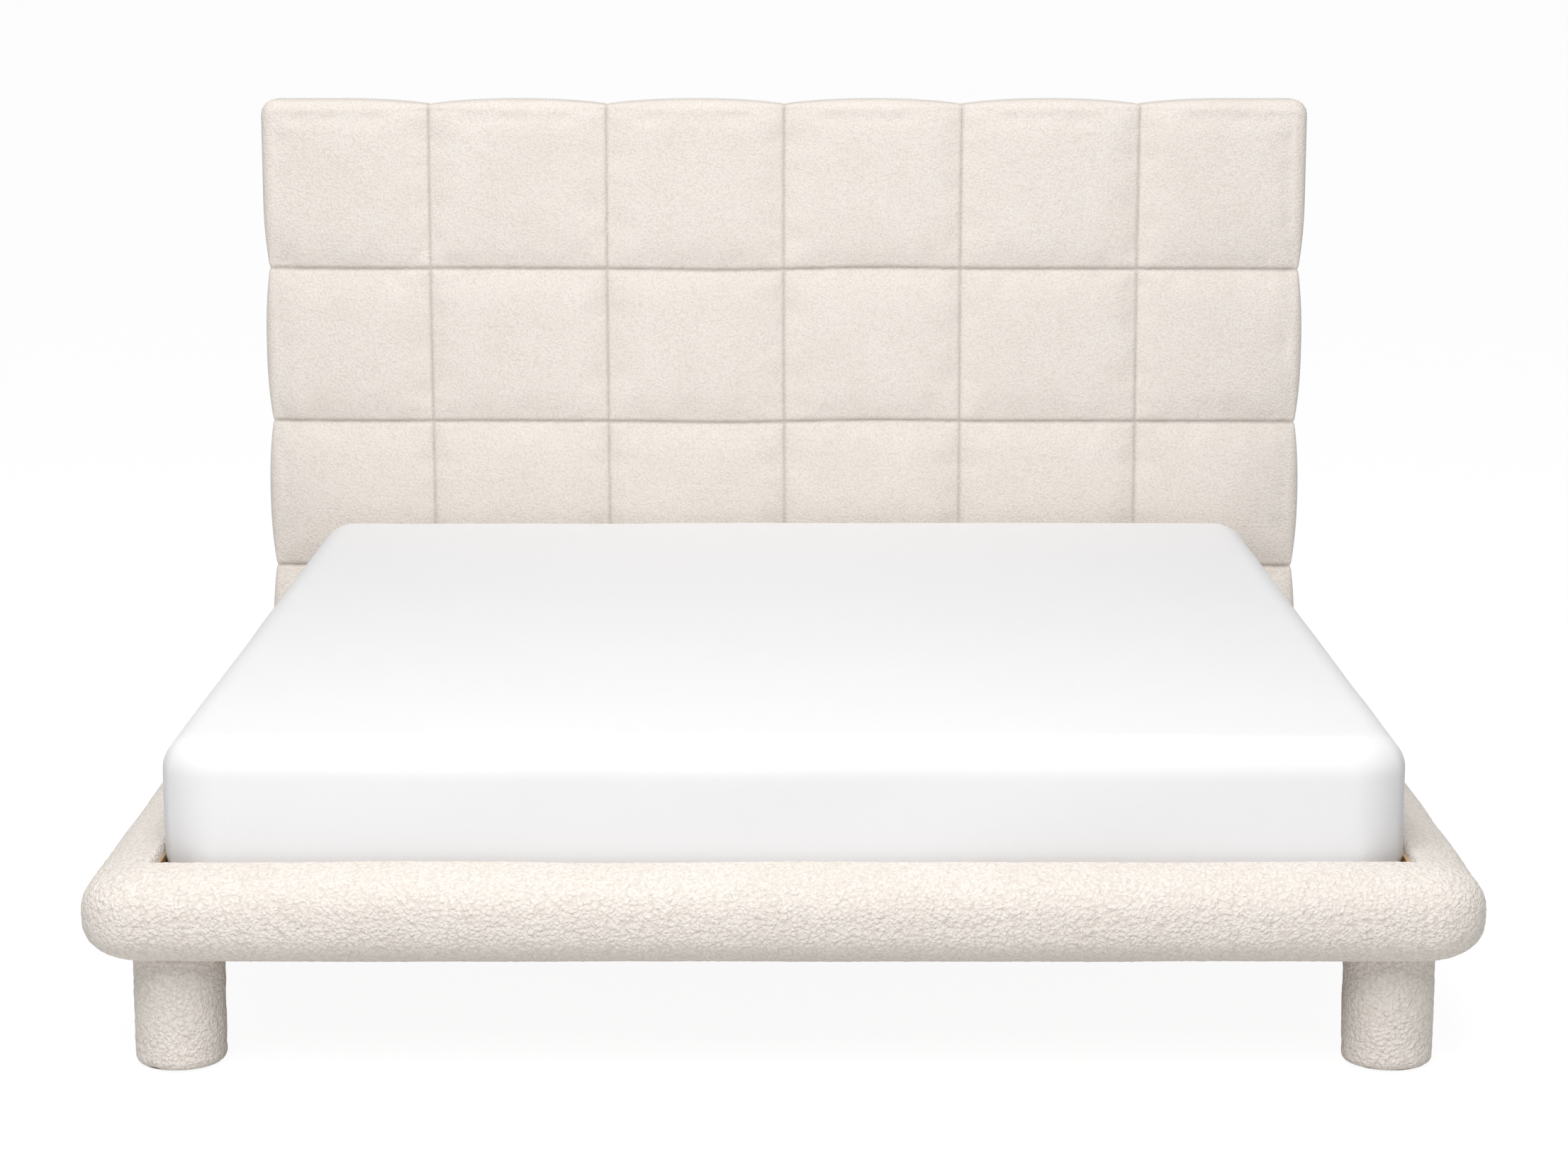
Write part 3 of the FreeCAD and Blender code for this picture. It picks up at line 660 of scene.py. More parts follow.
def wear_group():
    """Handling marks: slow patches and short fine scratches. Both run from 0 to 1."""
    group, enter, leave = new_group("Handling marks", {}, ("Patch", "Scratch"))
    patch, _ = noise(group, enter.outputs["Vector"], 35.0, 4.0)
    drawn = mapped(group, enter.outputs["Vector"], (1.0, 0.04, 0.3), (0.4, 0.3, 0.7))
    lines, _ = noise(group, drawn, 1600.0, 2.0)
    scratch = spread(group, lines, 0.62, 0.72, 0.0, 1.0)
    put_out(group, leave, Patch=patch, Scratch=scratch)
    return group


def new_material(name):
    """An empty material with a Principled shader and its output."""
    material = bpy.data.materials.new("bed_" + name)
    material.use_nodes = True
    tree = material.node_tree
    tree.nodes.clear()
    shader = tree.nodes.new("ShaderNodeBsdfPrincipled")
    result = tree.nodes.new("ShaderNodeOutputMaterial")
    tree.links.new(shader.outputs[0], result.inputs[0])
    return material, tree, shader


def place_group(tree, group_name, vector, **values):
    """A group node fed with the vector, with its own values."""
    node = tree.nodes.new("ShaderNodeGroup")
    node.node_tree = bpy.data.node_groups[group_name]
    tree.links.new(vector, node.inputs["Vector"])
    for key, value in values.items():
        node.inputs[key.replace("_", " ")].default_value = value
    return node


def feed_shader(tree, shader, tone, rough, **constants):
    """Links colour and roughness to the shader, and sets its own sockets to the constants."""
    tree.links.new(tone, shader.inputs["Base Color"])
    tree.links.new(rough, shader.inputs["Roughness"])
    for key, value in constants.items():
        shader.inputs[key.replace("_", " ")].default_value = value


def add_bump(tree, shader, height, strength, distance):
    """A Bump node from height to the shader's Normal."""
    bump = tree.nodes.new("ShaderNodeBump")
    bump.inputs["Strength"].default_value = strength
    bump.inputs["Distance"].default_value = distance
    tree.links.new(height, bump.inputs["Height"])
    tree.links.new(bump.outputs[0], shader.inputs["Normal"])


def boucle_material(name, nub, relief, depth):
    """Cream boucle with a soft nap: lighter loops over crevices darkened with painted shade, slow
    patches of a lighter tone, and deeper painted shade along the stitched lines.
    """
    colour = tuple(bpy.context.scene.bed_upholstery.cloth_colour)
    material, tree, shader = new_material(name)
    vector = vector_source(tree, False)
    loops = place_group(tree, "Boucle loops", vector, Loops_per_metre=1.0 / nub, Curl=nub * 0.9)
    # dark is the colour of the painted shade in the crevices between the loops; the stitched lines
    # get painted shade darker still
    dark = tuple(c * f for c, f in zip(colour, (0.70, 0.67, 0.635)))
    light = tuple(min(1.0, c * f) for c, f in zip(colour, (1.04, 1.045, 1.05)))
    patch = spread(tree, loops.outputs["Patch"], 0.3, 0.7, 0.0, 1.0)
    tone = blend_colours(tree, patch, colour, light)
    # painted shade: the crevices between the loops are mixed towards dark, as far as depth
    crevice_shade = math_node(tree, "MULTIPLY", loops.outputs["Crevice"], depth)
    tone = blend_colours(tree, crevice_shade, tone, dark)
    # painted shade along the stitched lines, read from the seam attribute
    stitched = tree.nodes.new("ShaderNodeAttribute")
    stitched.attribute_name = "seam"
    shade = math_node(tree, "MULTIPLY", stitched.outputs["Fac"], 0.55)
    tone = blend_colours(tree, shade, tone, tuple(c * 0.55 for c in dark))
    rough = spread(tree, loops.outputs["Height"], 0.3, 1.0, 1.0, 0.86)
    feed_shader(tree, shader, tone, rough,
                Sheen_Weight=0.18, Sheen_Roughness=0.6, Specular_IOR_Level=0.15)
    add_bump(tree, shader, loops.outputs["Height"], 1.0, relief)
    return material


def woven_material(name, colour, threads, relief, sheen, contrast):
    """Smooth woven cloth on cloth coordinates: fine weave and uneven threads."""
    material, tree, shader = new_material(name)
    vector = vector_source(tree, True)
    weave = place_group(tree, "Plain weave", vector, Threads_per_metre=threads)
    dark = tuple(c * (1 - contrast) for c in colour)
    uneven = spread(tree, weave.outputs["Thread"], 0.3, 0.7, 0.0, 1.0)
    tone = blend_colours(tree, uneven, dark, colour)
    rough = spread(tree, weave.outputs["Height"], 0.0, 1.0, 0.95, 0.8)
    feed_shader(tree, shader, tone, rough, Sheen_Weight=sheen, Specular_IOR_Level=0.2)
    add_bump(tree, shader, weave.outputs["Height"], 0.5, relief)
    return material


def timber_material(name, colour, axis, rings, rough_low, rough_high):
    """Bare timber with its grain along X, Y or Z."""
    material, tree, shader = new_material(name)
    vector = vector_source(tree, False)
    quarter = math.pi / 2
    turns = {"X": (0.0, quarter, 0.0), "Y": (quarter, 0.0, 0.0), "Z": (0.0, 0.0, 0.0)}
    turned = mapped(tree, vector, rotation=turns[axis])
    grain = place_group(tree, "Timber grain", turned, Rings_per_metre=rings)
    marks = place_group(tree, "Handling marks", vector)
    late = tuple(c * f for c, f in zip(colour, (0.66, 0.58, 0.48)))
    pale = tuple(min(1.0, c * f) for c, f in zip(colour, (1.15, 1.14, 1.12)))
    tone = blend_colours(tree, spread(tree, grain.outputs["Fibre"], 0.3, 0.7, 0, 1), colour, pale)
    tone = blend_colours(tree, math_node(tree, "MULTIPLY", grain.outputs["Ring"], 0.6), tone, late)
    dirt = spread(tree, marks.outputs["Patch"], 0.45, 0.75, 0.0, 0.25)
    tone = blend_colours(tree, dirt, tone, late)
    rough = spread(tree, grain.outputs["Fibre"], 0.3, 0.7, rough_low, rough_high)
    feed_shader(tree, shader, tone, rough)
    add_bump(tree, shader, grain.outputs["Height"], 0.4, 0.0004)
    return material


def plywood_material(colour):
    """Thin plywood: broad peeled figure on its faces and dark glue lines through its thickness."""
    material, tree, shader = new_material("plywood")
    vector = vector_source(tree, False)
    grain = place_group(tree, "Timber grain", vector, Rings_per_metre=14.0)
    split = tree.nodes.new("ShaderNodeSeparateXYZ")
    tree.links.new(vector, split.inputs[0])
    plies = math_node(tree, "FRACT", math_node(tree, "MULTIPLY", split.outputs["Y"], 700.0))
    glue = spread(tree, plies, 0.85, 0.95, 0.0, 0.5)
    late = tuple(c * 0.7 for c in colour)
    tone = blend_colours(tree, grain.outputs["Ring"], colour, late)
    tone = blend_colours(tree, glue, tone, tuple(c * 0.35 for c in colour))
    rough = spread(tree, grain.outputs["Fibre"], 0.3, 0.7, 0.55, 0.75)
    feed_shader(tree, shader, tone, rough)
    add_bump(tree, shader, grain.outputs["Height"], 0.3, 0.0003)
    return material


def coated_steel_material(colour):
    """Black powder coat: fine orange peel and dusty scuffs."""
    material, tree, shader = new_material("black_steel")
    vector = vector_source(tree, False)
    marks = place_group(tree, "Handling marks", vector)
    peel, _ = noise(tree, vector, 1400.0, 2.0)
    dust = spread(tree, marks.outputs["Patch"], 0.45, 0.8, 0.0, 0.35)
    tone = blend_colours(tree, dust, colour, (0.10, 0.098, 0.094))
    worn = math_node(tree, "MULTIPLY", marks.outputs["Scratch"], 0.2)
    tone = blend_colours(tree, worn, tone, (0.20, 0.20, 0.20))
    rough = spread(tree, marks.outputs["Patch"], 0.3, 0.7, 0.38, 0.55)
    feed_shader(tree, shader, tone, rough)
    add_bump(tree, shader, peel, 0.4, 0.00012)
    return material


def zinc_material():
    """Bright zinc plating: grey metal with drawn scratches and dull patches."""
    material, tree, shader = new_material("zinc_steel")
    vector = vector_source(tree, False)
    marks = place_group(tree, "Handling marks", vector)
    tone = blend_colours(tree, marks.outputs["Patch"], (0.46, 0.47, 0.49), (0.66, 0.66, 0.65))
    worn = math_node(tree, "MULTIPLY", marks.outputs["Scratch"], 0.4)
    tone = blend_colours(tree, worn, tone, (0.30, 0.30, 0.31))
    rough = spread(tree, marks.outputs["Patch"], 0.3, 0.7, 0.24, 0.42)
    feed_shader(tree, shader, tone, rough, Metallic=1.0)
    add_bump(tree, shader, marks.outputs["Scratch"], 0.2, 0.0001)
    return material


def plastic_material():
    """Black moulded plastic with a spark-eroded grain and scuffed high spots."""
    material, tree, shader = new_material("black_plastic")
    vector = vector_source(tree, False)
    marks = place_group(tree, "Handling marks", vector)
    pebble, _ = noise(tree, vector, 2400.0, 2.0)
    scuff = spread(tree, marks.outputs["Patch"], 0.5, 0.8, 0.0, 0.4)
    tone = blend_colours(tree, scuff, (0.018, 0.018, 0.019), (0.06, 0.06, 0.06))
    feed_shader(tree, shader, tone, spread(tree, pebble, 0.3, 0.7, 0.5, 0.65))
    add_bump(tree, shader, pebble, 0.4, 0.00015)
    return material


class BED_OT_finishes(bpy.types.Operator):
    """Make the shared effects and every material"""

    bl_idname = "bed.finishes"
    bl_label = "Finishes"

    def execute(self, context):
        boucle_group()
        weave_group()
        timber_group()
        wear_group()
        scene = context.scene
        nub = scene.bed_upholstery.nub_size
        # the last number of each is how deep the painted shade in the crevices goes
        boucle_material("boucle", nub, nub * 0.75, 0.42)
        boucle_material("boucle_headboard", nub * 0.66, nub * 0.30, 0.36)
        sheet = tuple(scene.bed_bedding.sheet_colour)
        woven_material("sheet_cotton", sheet, 1600.0, 0.0001, 0.05, 0.012)
        woven_material("ticking", (0.72, 0.70, 0.65), 700.0, 0.0003, 0.1, 0.12)
        woven_material("lining", (0.055, 0.054, 0.053), 520.0, 0.0003, 0.1, 0.35)
        woven_material("webbing", (0.62, 0.60, 0.55), 420.0, 0.0006, 0.1, 0.25)
        pine = tuple(scene.bed_frame_finish.pine_colour)
        for axis in ("X", "Y", "Z"):
            timber_material(f"pine_along_{axis}", pine, axis, 110.0, 0.55, 0.75)
        beech = tuple(scene.bed_frame_finish.beech_colour)
        timber_material("beech", beech, "Z", 160.0, 0.4, 0.6)
        plywood_material((0.58, 0.43, 0.27))
        coated_steel_material(tuple(scene.bed_frame_finish.steel_colour))
        zinc_material()
        plastic_material()
        return {"FINISHED"}


def clothe(obj, material, body, nodes):
    """Gives a new piece its material, its body and the nodes it stands for."""
    obj.data.materials.append(bpy.data.materials["bed_" + material])
    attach(obj, body)
    if nodes:
        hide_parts(*nodes)
    return obj


# ------------------------------------------------------------------ headboard


def cell_share(place, lines, reach):
    """0 on the nearest stitched line and 1 from reach away, rising as 1 - (1 - t)^2.3.
    Only the lines themselves pull the cloth in, so it stays full out to the edges."""
    distance = np.min(np.abs(place[..., None] - np.array(lines)), axis=-1)
    share = np.clip(distance / reach, 0, 1)
    return 1 - (1 - share) ** 2.3


def headboard_relief(points, upright, level):
    """How far each point sinks below the crown and how deep it is in a fold, both 0 to 1.
    The share is that of the nearest upright line times that of the nearest level line."""
    bow = soft_swell(points * np.array([1.0, 0.0, 0.0]), 0.5, 11) * 0.0035
    lean = soft_swell(points * np.array([0.0, 0.0, 1.0]), 0.6, 12) * 0.0015
    full_x = cell_share(points[..., 0] + lean, upright, UPRIGHT_REACH)
    full_z = cell_share(points[..., 2] + bow, level, LEVEL_REACH)
    ragged = soft_swell(points, 0.014, 13) * 0.0006
    near_x = points[..., 0] + lean + ragged
    near_z = points[..., 2] + bow + ragged
    fold_x = np.min(np.abs(near_x[..., None] - np.array(upright)), axis=-1)
    fold_z = np.min(np.abs(near_z[..., None] - np.array(level)), axis=-1)
    fold = np.maximum(0.75 * np.exp(-((fold_x / 0.0026) ** 2)), np.exp(-((fold_z / 0.0032) ** 2)))
    return 1 - full_x * full_z, fold


def headboard_grids(sizes):
    """The tufted pad as a closed shell. The front is a grid of cells; its border is carried round
    the front roll, back along the edge, under the wrap and into the recess for the board."""
    roll = 0.022
    corner = 0.028
    wrap = CUSHION_HIGH.x - BOARD_HIGH.x
    half_x = CUSHION_HIGH.x - roll
    middle_z = (CUSHION_LOW.z + CUSHION_HIGH.z) / 2
    half_z = (CUSHION_HIGH.z - CUSHION_LOW.z) / 2 - roll
    edge_lines = sizes.cells_across / 2 - 1
    upright = np.arange(-edge_lines, edge_lines + 1) * sizes.cell_width
    level = np.array(sizes.line_heights)
    columns = seam_spacing([-half_x, *upright, half_x], 52)
    rows = seam_spacing([middle_z - half_z, *level, middle_z + half_z], 48)
    x, z = np.meshgrid(columns, rows - middle_z)
    x, z = round_corners(x, z, half_x, half_z, corner - roll)
    front = np.stack([x, np.full_like(x, CUSHION_LOW.y), z + middle_z], -1)
    sunk, front_fold = headboard_relief(front, upright, level)
    swell = soft_swell(front, 0.22, 3) * 0.0012
    front[..., 1] += sunk * sizes.crown + swell * (1 - sunk)
    front += pad_puff(front, rows, columns, upright, level, sunk, sizes.crown)
    front[..., 1] += front_fold * FOLD_SINK
    # the border, carried round the edge
    loop = border(front)
    outline = np.stack([loop[:, 0], loop[:, 2] - middle_z], 1)
    limit = np.array([half_x, half_z]) - (corner - roll)
    outward = outline - np.clip(outline, -limit, limit)
    outward /= np.linalg.norm(outward, axis=1)[:, None]
    back = CLOTH_LOW.y
    turn = np.linspace(0, math.pi / 2, 10)
    out = [*(roll * np.sin(turn))]
    deep = [*(CUSHION_LOW.y + roll * (1 - np.cos(turn)))]
    edge = np.linspace(CUSHION_LOW.y + roll, back - 0.004, 9)[1:]
    out += [roll] * len(edge)
    deep += [*edge]
    out += [roll - 0.0015, roll - 0.004, roll - wrap / 2, roll - wrap]
    deep += [back - 0.0012, back, back, back]
    out += [roll - wrap, roll - wrap]
    deep += [(back + BOARD_LOW.y) / 2, BOARD_LOW.y - 0.0002]
    out = np.array(out)
    deep = np.array(deep)
    place = outline[None] + outward[None] * out[:, None, None]
    strip = np.stack([place[..., 0], np.repeat(deep[:, None], len(loop), 1),
                      place[..., 1] + middle_z], -1)
    sunk, edge_fold = headboard_relief(strip, upright, level)
    behind = deep > back - 0.0005
    faded = np.where(behind, np.clip((out - roll + wrap) / (0.7 * wrap), 0, 1), 1.0)
    faded[-3:] = 0
    faded = faded[:, None]
    share_out = np.where(behind, 1.0, np.clip(out / roll, 0, 1))[:, None]
    pull = (sunk * sizes.edge_pinch + edge_fold * 0.002) * faded * share_out
    strip[..., 0] -= outward[None, :, 0] * pull
    strip[..., 2] -= outward[None, :, 1] * pull
    strip[..., 1] += (sunk * sizes.crown + edge_fold * FOLD_SINK) * (1 - share_out**2)
    strip[0] = loop
    # the flat floor of the recess closes the shell
    inner = strip[-1]
    centre = inner.mean(0)
    shares = np.array([1.0, 0.5, 0.0])[:, None, None]
    floor = centre + (inner[None] - centre) * shares
    # front_fold and edge_seam become the seam attribute, where the boucle material paints shade
    # along the stitched lines
    edge_seam = edge_fold * faded * (1 - 0.5 * share_out)
    return [(front, front[..., ::2], front_fold, False), (strip, None, edge_seam, True),
            (floor, None, None, True)]


def pad_puff(front, rows, columns, upright, level, sunk, crown):
    """What the cloth simulation adds to the front: every fourth point of the grid, held along
    the stitched lines and the border, starts with part of its crown taken back and blows up."""
    coarse = front[::4, ::4].copy()
    coarse[..., 1] += 0.4 * crown * (1 - sunk[::4, ::4])
    held = np.isin(columns[::4], upright)[None, :] | np.isin(rows[::4], level)[:, None]
    held[[0, -1]] = True
    held[:, [0, -1]] = True
    # rows reversed, so that the trial's faces look forwards
    shift = puffed(coarse[::-1], held[::-1], 4.0, 0.012, 0.008)[::-1]
    shift[..., 1] += 0.4 * crown * (1 - sunk[::4, ::4])
    shift[held] = 0
    return finer(shift, 4, 3)


def stapled_cloth(name, low, high, gap):
    """Thin cloth pulled flat over the back, its edge turned under in a shallow hem.
    A grid across the back, ruffled near its edge in waves as long as the staples' gap."""
    x = np.linspace(low.x, high.x, 161)
    z = np.linspace(low.z, high.z, 97)
    x, z = np.meshgrid(x, z)
    edge_x = np.minimum(x - low.x, high.x - x)
    edge_z = np.minimum(z - low.z, high.z - z)
    near = np.minimum(edge_x, edge_z)
    along = np.where(edge_x < edge_z, z - low.z, x - low.x)
    pucker = np.exp(-near / 0.03) * 0.0004 * (1 + np.cos(2 * math.pi * along / gap))
    points = np.stack([x, np.full_like(x, high.y), z], -1)
    points[..., 1] += pucker + np.abs(soft_swell(points, 0.5, 21)) * 0.0003
    hem = np.exp(-(((near - 0.012) / 0.002) ** 2)) * 0.0007
    points[..., 1] += hem
    return put_surfaces(name, [(points, points[..., ::2], None, False)], outward=False)


def staple_row(name, low, high, gap):
    """Wire staples round the back cloth: each is a flat crown with two short legs, a bent
    rectangle of wire carried along three runs."""
    inset = 0.006
    wide = high.x - low.x - 2 * inset
    tall = high.z - low.z - 2 * inset
    across = np.linspace(-wide / 2, wide / 2, int(wide / gap) + 1)
    up = np.linspace(-tall / 2, tall / 2, int(tall / gap) + 1)[1:-1]
    middle = (low.z + high.z) / 2
    places = [(a, middle + s * tall / 2, 0.0) for a in across for s in (-1, 1)]
    places += [(s * wide / 2, middle + b, 1.0) for b in up for s in (-1, 1)]
    reach = 0.005
    wire = 0.0006
    lift = 0.0007
    face = high.y + 0.0002
    path = np.array([(-reach, -0.002), (-reach, lift), (reach, lift), (reach, -0.002)])
    grids = []
    for place_x, place_z, turned in places:
        ring = []
        for part, (along, out) in enumerate(path):
            tilt = (-1 if part < 2 else 1) * wire / 2 if part in (1, 2) else 0.0
            for side, height in [(-1, -1), (1, -1), (1, 1), (-1, 1)]:
                shift = along + tilt * height + (height * wire / 2 if part in (0, 3) else 0.0)
                away = out + (height * wire / 2 if part in (1, 2) else 0.0)
                step = side * wire
                dx, dz = (step, shift) if turned else (shift, step)
                ring.append((place_x + dx, face + away, place_z + dz))
        grids.append((np.array(ring).reshape(4, 4, 3), None, None, True))
    return put_surfaces(name, grids, weld=1e-6)


class BED_OT_headboard(bpy.types.Operator):
    """Build the tufted headboard pad, its back cloth and the staples that hold it"""

    bl_idname = "bed.headboard"
    bl_label = "Headboard"

    def execute(self, context):
        sizes = context.scene.bed_upholstery
        pad = put_surfaces("tufted_headboard_pad", headboard_grids(sizes))
        clothe(pad, "boucle_headboard", "bed_frame", ["headboard_cushion"])
        cloth = stapled_cloth("back_cloth", CLOTH_LOW, CLOTH_HIGH, STAPLE_GAP)
        clothe(cloth, "lining", "bed_frame", ["headboard_back_cloth"])
        staples = staple_row("back_cloth_staples", CLOTH_LOW, CLOTH_HIGH, STAPLE_GAP)
        clothe(staples, "zinc_steel", "bed_frame", [])
        return {"FINISHED"}


# ------------------------------------------------------------------ rails


def bolster_section(depth, height, power):
    """The rail end on, as (outward, up) points round a closed loop: half a superellipse from the
    top inner edge over the nose to the bottom inner edge, then straight up the inner face.
    up = height / 2 (1 - ((outward + lead) / (depth + lead))^power)^(1 / power)."""
    lead = 0.015
    limit = math.acos((lead / (depth + lead)) ** (power / 2))
    angle = np.linspace(limit, -limit, 801)
    outward = (depth + lead) * np.abs(np.cos(angle)) ** (2 / power) - lead
    up = height / 2 * np.sign(np.sin(angle)) * np.abs(np.sin(angle)) ** (2 / power)
    nose = evenly(np.stack([outward, up], 1), 84)
    wall_up = np.linspace(nose[-1, 1], nose[0, 1], 14)[1:-1]
    wall = np.stack([np.zeros(len(wall_up)), wall_up], 1)
    loop = np.concatenate([nose, wall])
    soft = np.clip((0.012 - loop[:, :1]) / 0.006, 0, 1) * 0.5
    for _ in range(12):
        middle = (np.roll(loop, 1, 0) + np.roll(loop, -1, 0)) / 2
        loop = loop + soft * (middle - loop)
    loop[:, 0] = np.maximum(loop[:, 0], 0)
    return loop


def shrunk_ends(loop_grid, distance, radius):
    """Rounds a bolster over where it meets the next piece: a section at that distance from the
    end draws in towards its middle by radius - sqrt(radius^2 - (radius - distance)^2)."""
    lack = np.clip(radius - distance, 0, radius)
    draw = radius - np.sqrt(np.maximum(radius**2 - lack**2, 0))
    middle = loop_grid.mean(1, keepdims=True)
    away = loop_grid - middle
    size = np.linalg.norm(away, axis=2, keepdims=True)
    return middle + away * (1 - np.minimum(draw[:, None, None] / np.maximum(size, 1e-6), 1))


def foot_bolster(sizes):
    """The foot rail: the section carried straight across the front, and fanned a quarter turn
    about each inner corner of the well, where it reaches out to the rounded plan corner."""
    depth = FOOT_HIGH.y - FOOT_LOW.y
    height = FOOT_HIGH.z - FOOT_LOW.z
    middle_z = (FOOT_HIGH.z + FOOT_LOW.z) / 2
    half = FOOT_HIGH.x - depth
    loop = bolster_section(depth, height, sizes.bolster_power)
    fan = 43
    straight = 500
    turn = np.linspace(0, math.pi / 2, fan + 1)
    # distance from the inner corner to the rounded outline in each direction of the fan
    centre = depth - RAIL_PLAN_CORNER
    along = centre * (np.cos(turn) + np.sin(turn))
    reach = along + np.sqrt(np.maximum(along**2 - 2 * centre**2 + RAIL_PLAN_CORNER**2, 0))
    across = np.linspace(-half, half, straight)
    pivot_x = np.concatenate([np.full(fan, -half), across, np.full(fan, half)])
    angle = np.concatenate([-turn[:0:-1], np.zeros(straight), turn[1:]])
    length = np.concatenate([reach[:0:-1], np.full(straight, depth), reach[1:]])
    outward = loop[None, :, 0] * (length / depth)[:, None]
    x = pivot_x[:, None] + outward * np.sin(angle)[:, None]
    y = FOOT_HIGH.y - outward * np.cos(angle)[:, None]
    z = np.repeat(middle_z + loop[None, :, 1], len(angle), 0)
    points = np.stack([x, y, z], -1)
    to_end = (math.pi / 2 - np.abs(angle)) * depth
    points = shrunk_ends(points, to_end, RAIL_END_ROUNDING)
    return with_ends(padded_out(points, 5))


def side_bolster(sizes, side):
    """A side rail: the section carried straight from the foot rail back to the headboard."""
    depth = SIDE_HIGH.x - SIDE_LOW.x
    height = SIDE_HIGH.z - SIDE_LOW.z
    middle_z = (SIDE_HIGH.z + SIDE_LOW.z) / 2
    loop = bolster_section(depth, height, sizes.bolster_power)
    inner = np.linspace(SIDE_LOW.y, SIDE_HIGH.y, 420)
    ends = np.array([0.0, 0.001, 0.0025, 0.004])
    y = np.unique(np.concatenate([inner, SIDE_LOW.y + ends, SIDE_HIGH.y - ends]))
    x = np.repeat(SIDE_LOW.x + loop[None, :, 0], len(y), 0)
    z = np.repeat(middle_z + loop[None, :, 1], len(y), 0)
    points = np.stack([x, np.repeat(y[:, None], len(loop), 1), z], -1)
    to_end = np.minimum(y - SIDE_LOW.y, SIDE_HIGH.y - y)
    points = shrunk_ends(points, to_end, RAIL_END_ROUNDING)
    points = padded_out(points, 7 if side > 0 else 8)
    points[..., 0] *= side
    return with_ends(points)


def padded_out(points, seed):
    """Foam and cloth are never quite even: a slow swell along the rail and small lumps, both inwards
    of the drawn section."""
    normal = grid_normals(points, True)
    centre = points.mean(1, keepdims=True)
    facing = np.sign(np.sum(normal * (points - centre), axis=2, keepdims=True))
    slow = soft_swell(points, 0.30, seed) * 0.0009
    lump = soft_swell(points, 0.011, seed + 50, 40) * 0.00045
    return points + normal * facing * (slow + lump - 0.0009)[..., None]


def with_ends(points):
    """Closes both ends of a carried section: each last loop is drawn in to its middle."""
    shares = np.array([0.5, 0.0])[:, None, None]
    first = points[0].mean(0) + (points[0] - points[0].mean(0)) * shares
    last = points[-1].mean(0) + (points[-1] - points[-1].mean(0)) * shares
    return np.concatenate([first[::-1], points, last])


class BED_OT_rails(bpy.types.Operator):
    """Build the padded foot rail and the two side rails"""

    bl_idname = "bed.rails"
    bl_label = "Rails"

    def execute(self, context):
        sizes = context.scene.bed_upholstery
        foot = put_surfaces("foot_rail_bolster", [(foot_bolster(sizes), None, None, True)])
        clothe(foot, "boucle", "bed_frame", ["foot_rail_cover"])
        for label, side in (("left", -1), ("right", 1)):
            grid = side_bolster(sizes, side)
            rail = put_surfaces(f"side_rail_bolster_{label}", [(grid, None, None, True)])
            clothe(rail, "boucle", "bed_frame", [f"side_rail_cover_{label}"])
        return {"FINISHED"}


# ------------------------------------------------------------------ legs


def leg_sleeve(node, core_node, rounding, seed):
    """A padded sleeve round a leg core: the wall's section, turned about the leg's middle line.
    Its foot is a quarter ellipse as wide as the wall, its top presses into the rail's padding."""
    low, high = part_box(node)
    core_low, core_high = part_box(core_node)
    outer = (high.x - low.x) / 2
    inner = (core_high.x - core_low.x) / 2
    middle = (low + high) / 2
    wall = outer - inner
    turn = np.linspace(0, math.pi / 2, 12)
    radius = [*(inner + wall * np.sin(turn))]
    up = [*(low.z + rounding * (1 - np.cos(turn)))]
    rise = np.linspace(low.z + rounding, high.z + 0.005, 40)[1:]
    radius += [outer] * len(rise) + [outer - 0.003, inner]
    up += [*rise, high.z + 0.0065, high.z + 0.0065]
    radius += [inner] * 3
    up += [high.z * 0.7, high.z * 0.3, low.z]
    radius = np.array(radius)
    up = np.array(up)
    around = np.linspace(0, 2 * math.pi, 113)[:-1]
    x = middle.x + radius[:, None] * np.cos(around)
    y = middle.y + radius[:, None] * np.sin(around)
    points = np.stack([x, y, np.repeat(up[:, None], len(around), 1)], -1)
    outside = (radius > inner + 1e-4)[:, None]
    way = np.stack([np.cos(around), np.sin(around), np.zeros(len(around))], -1)
    swell = soft_swell(points, 0.06, seed) * 0.0008
    swell += soft_swell(points, 0.011, seed + 9, 40) * 0.00045
    inward = math.pi / 2 if middle.y < 0 else -math.pi / 2
    seam = np.exp(-((np.angle(np.exp(1j * (around - inward))) / 0.035) ** 2)) * 0.0022
    points += way * ((swell - 0.0007 - seam) * outside)[..., None]
    wave = soft_swell(points, 0.05, seed + 3) * 0.0015
    lowered = np.clip(1 - (points[..., 2] - low.z) / 0.03, 0, 1)
    points[..., 2] += np.abs(wave) * lowered * outside
    return points


class BED_OT_legs(bpy.types.Operator):
    """Build the padded sleeves of the four legs"""

    bl_idname = "bed.legs"
    bl_label = "Legs"

    def execute(self, context):
        sizes = context.scene.bed_upholstery
        places = ["foot_left", "foot_right", "head_left", "head_right"]
        for seed, place in enumerate(places):
            node = f"leg_cover_{place}"
            grid = leg_sleeve(node, f"leg_core_{place}", sizes.leg_rounding, 30 + seed)
            closed = np.concatenate([grid, grid[:1]])
            sleeve = put_surfaces(f"leg_sleeve_{place}", [(closed, None, None, True)])
            clothe(sleeve, "boucle", "bed_frame", [node])
        return {"FINISHED"}


# ------------------------------------------------------------------ bedding


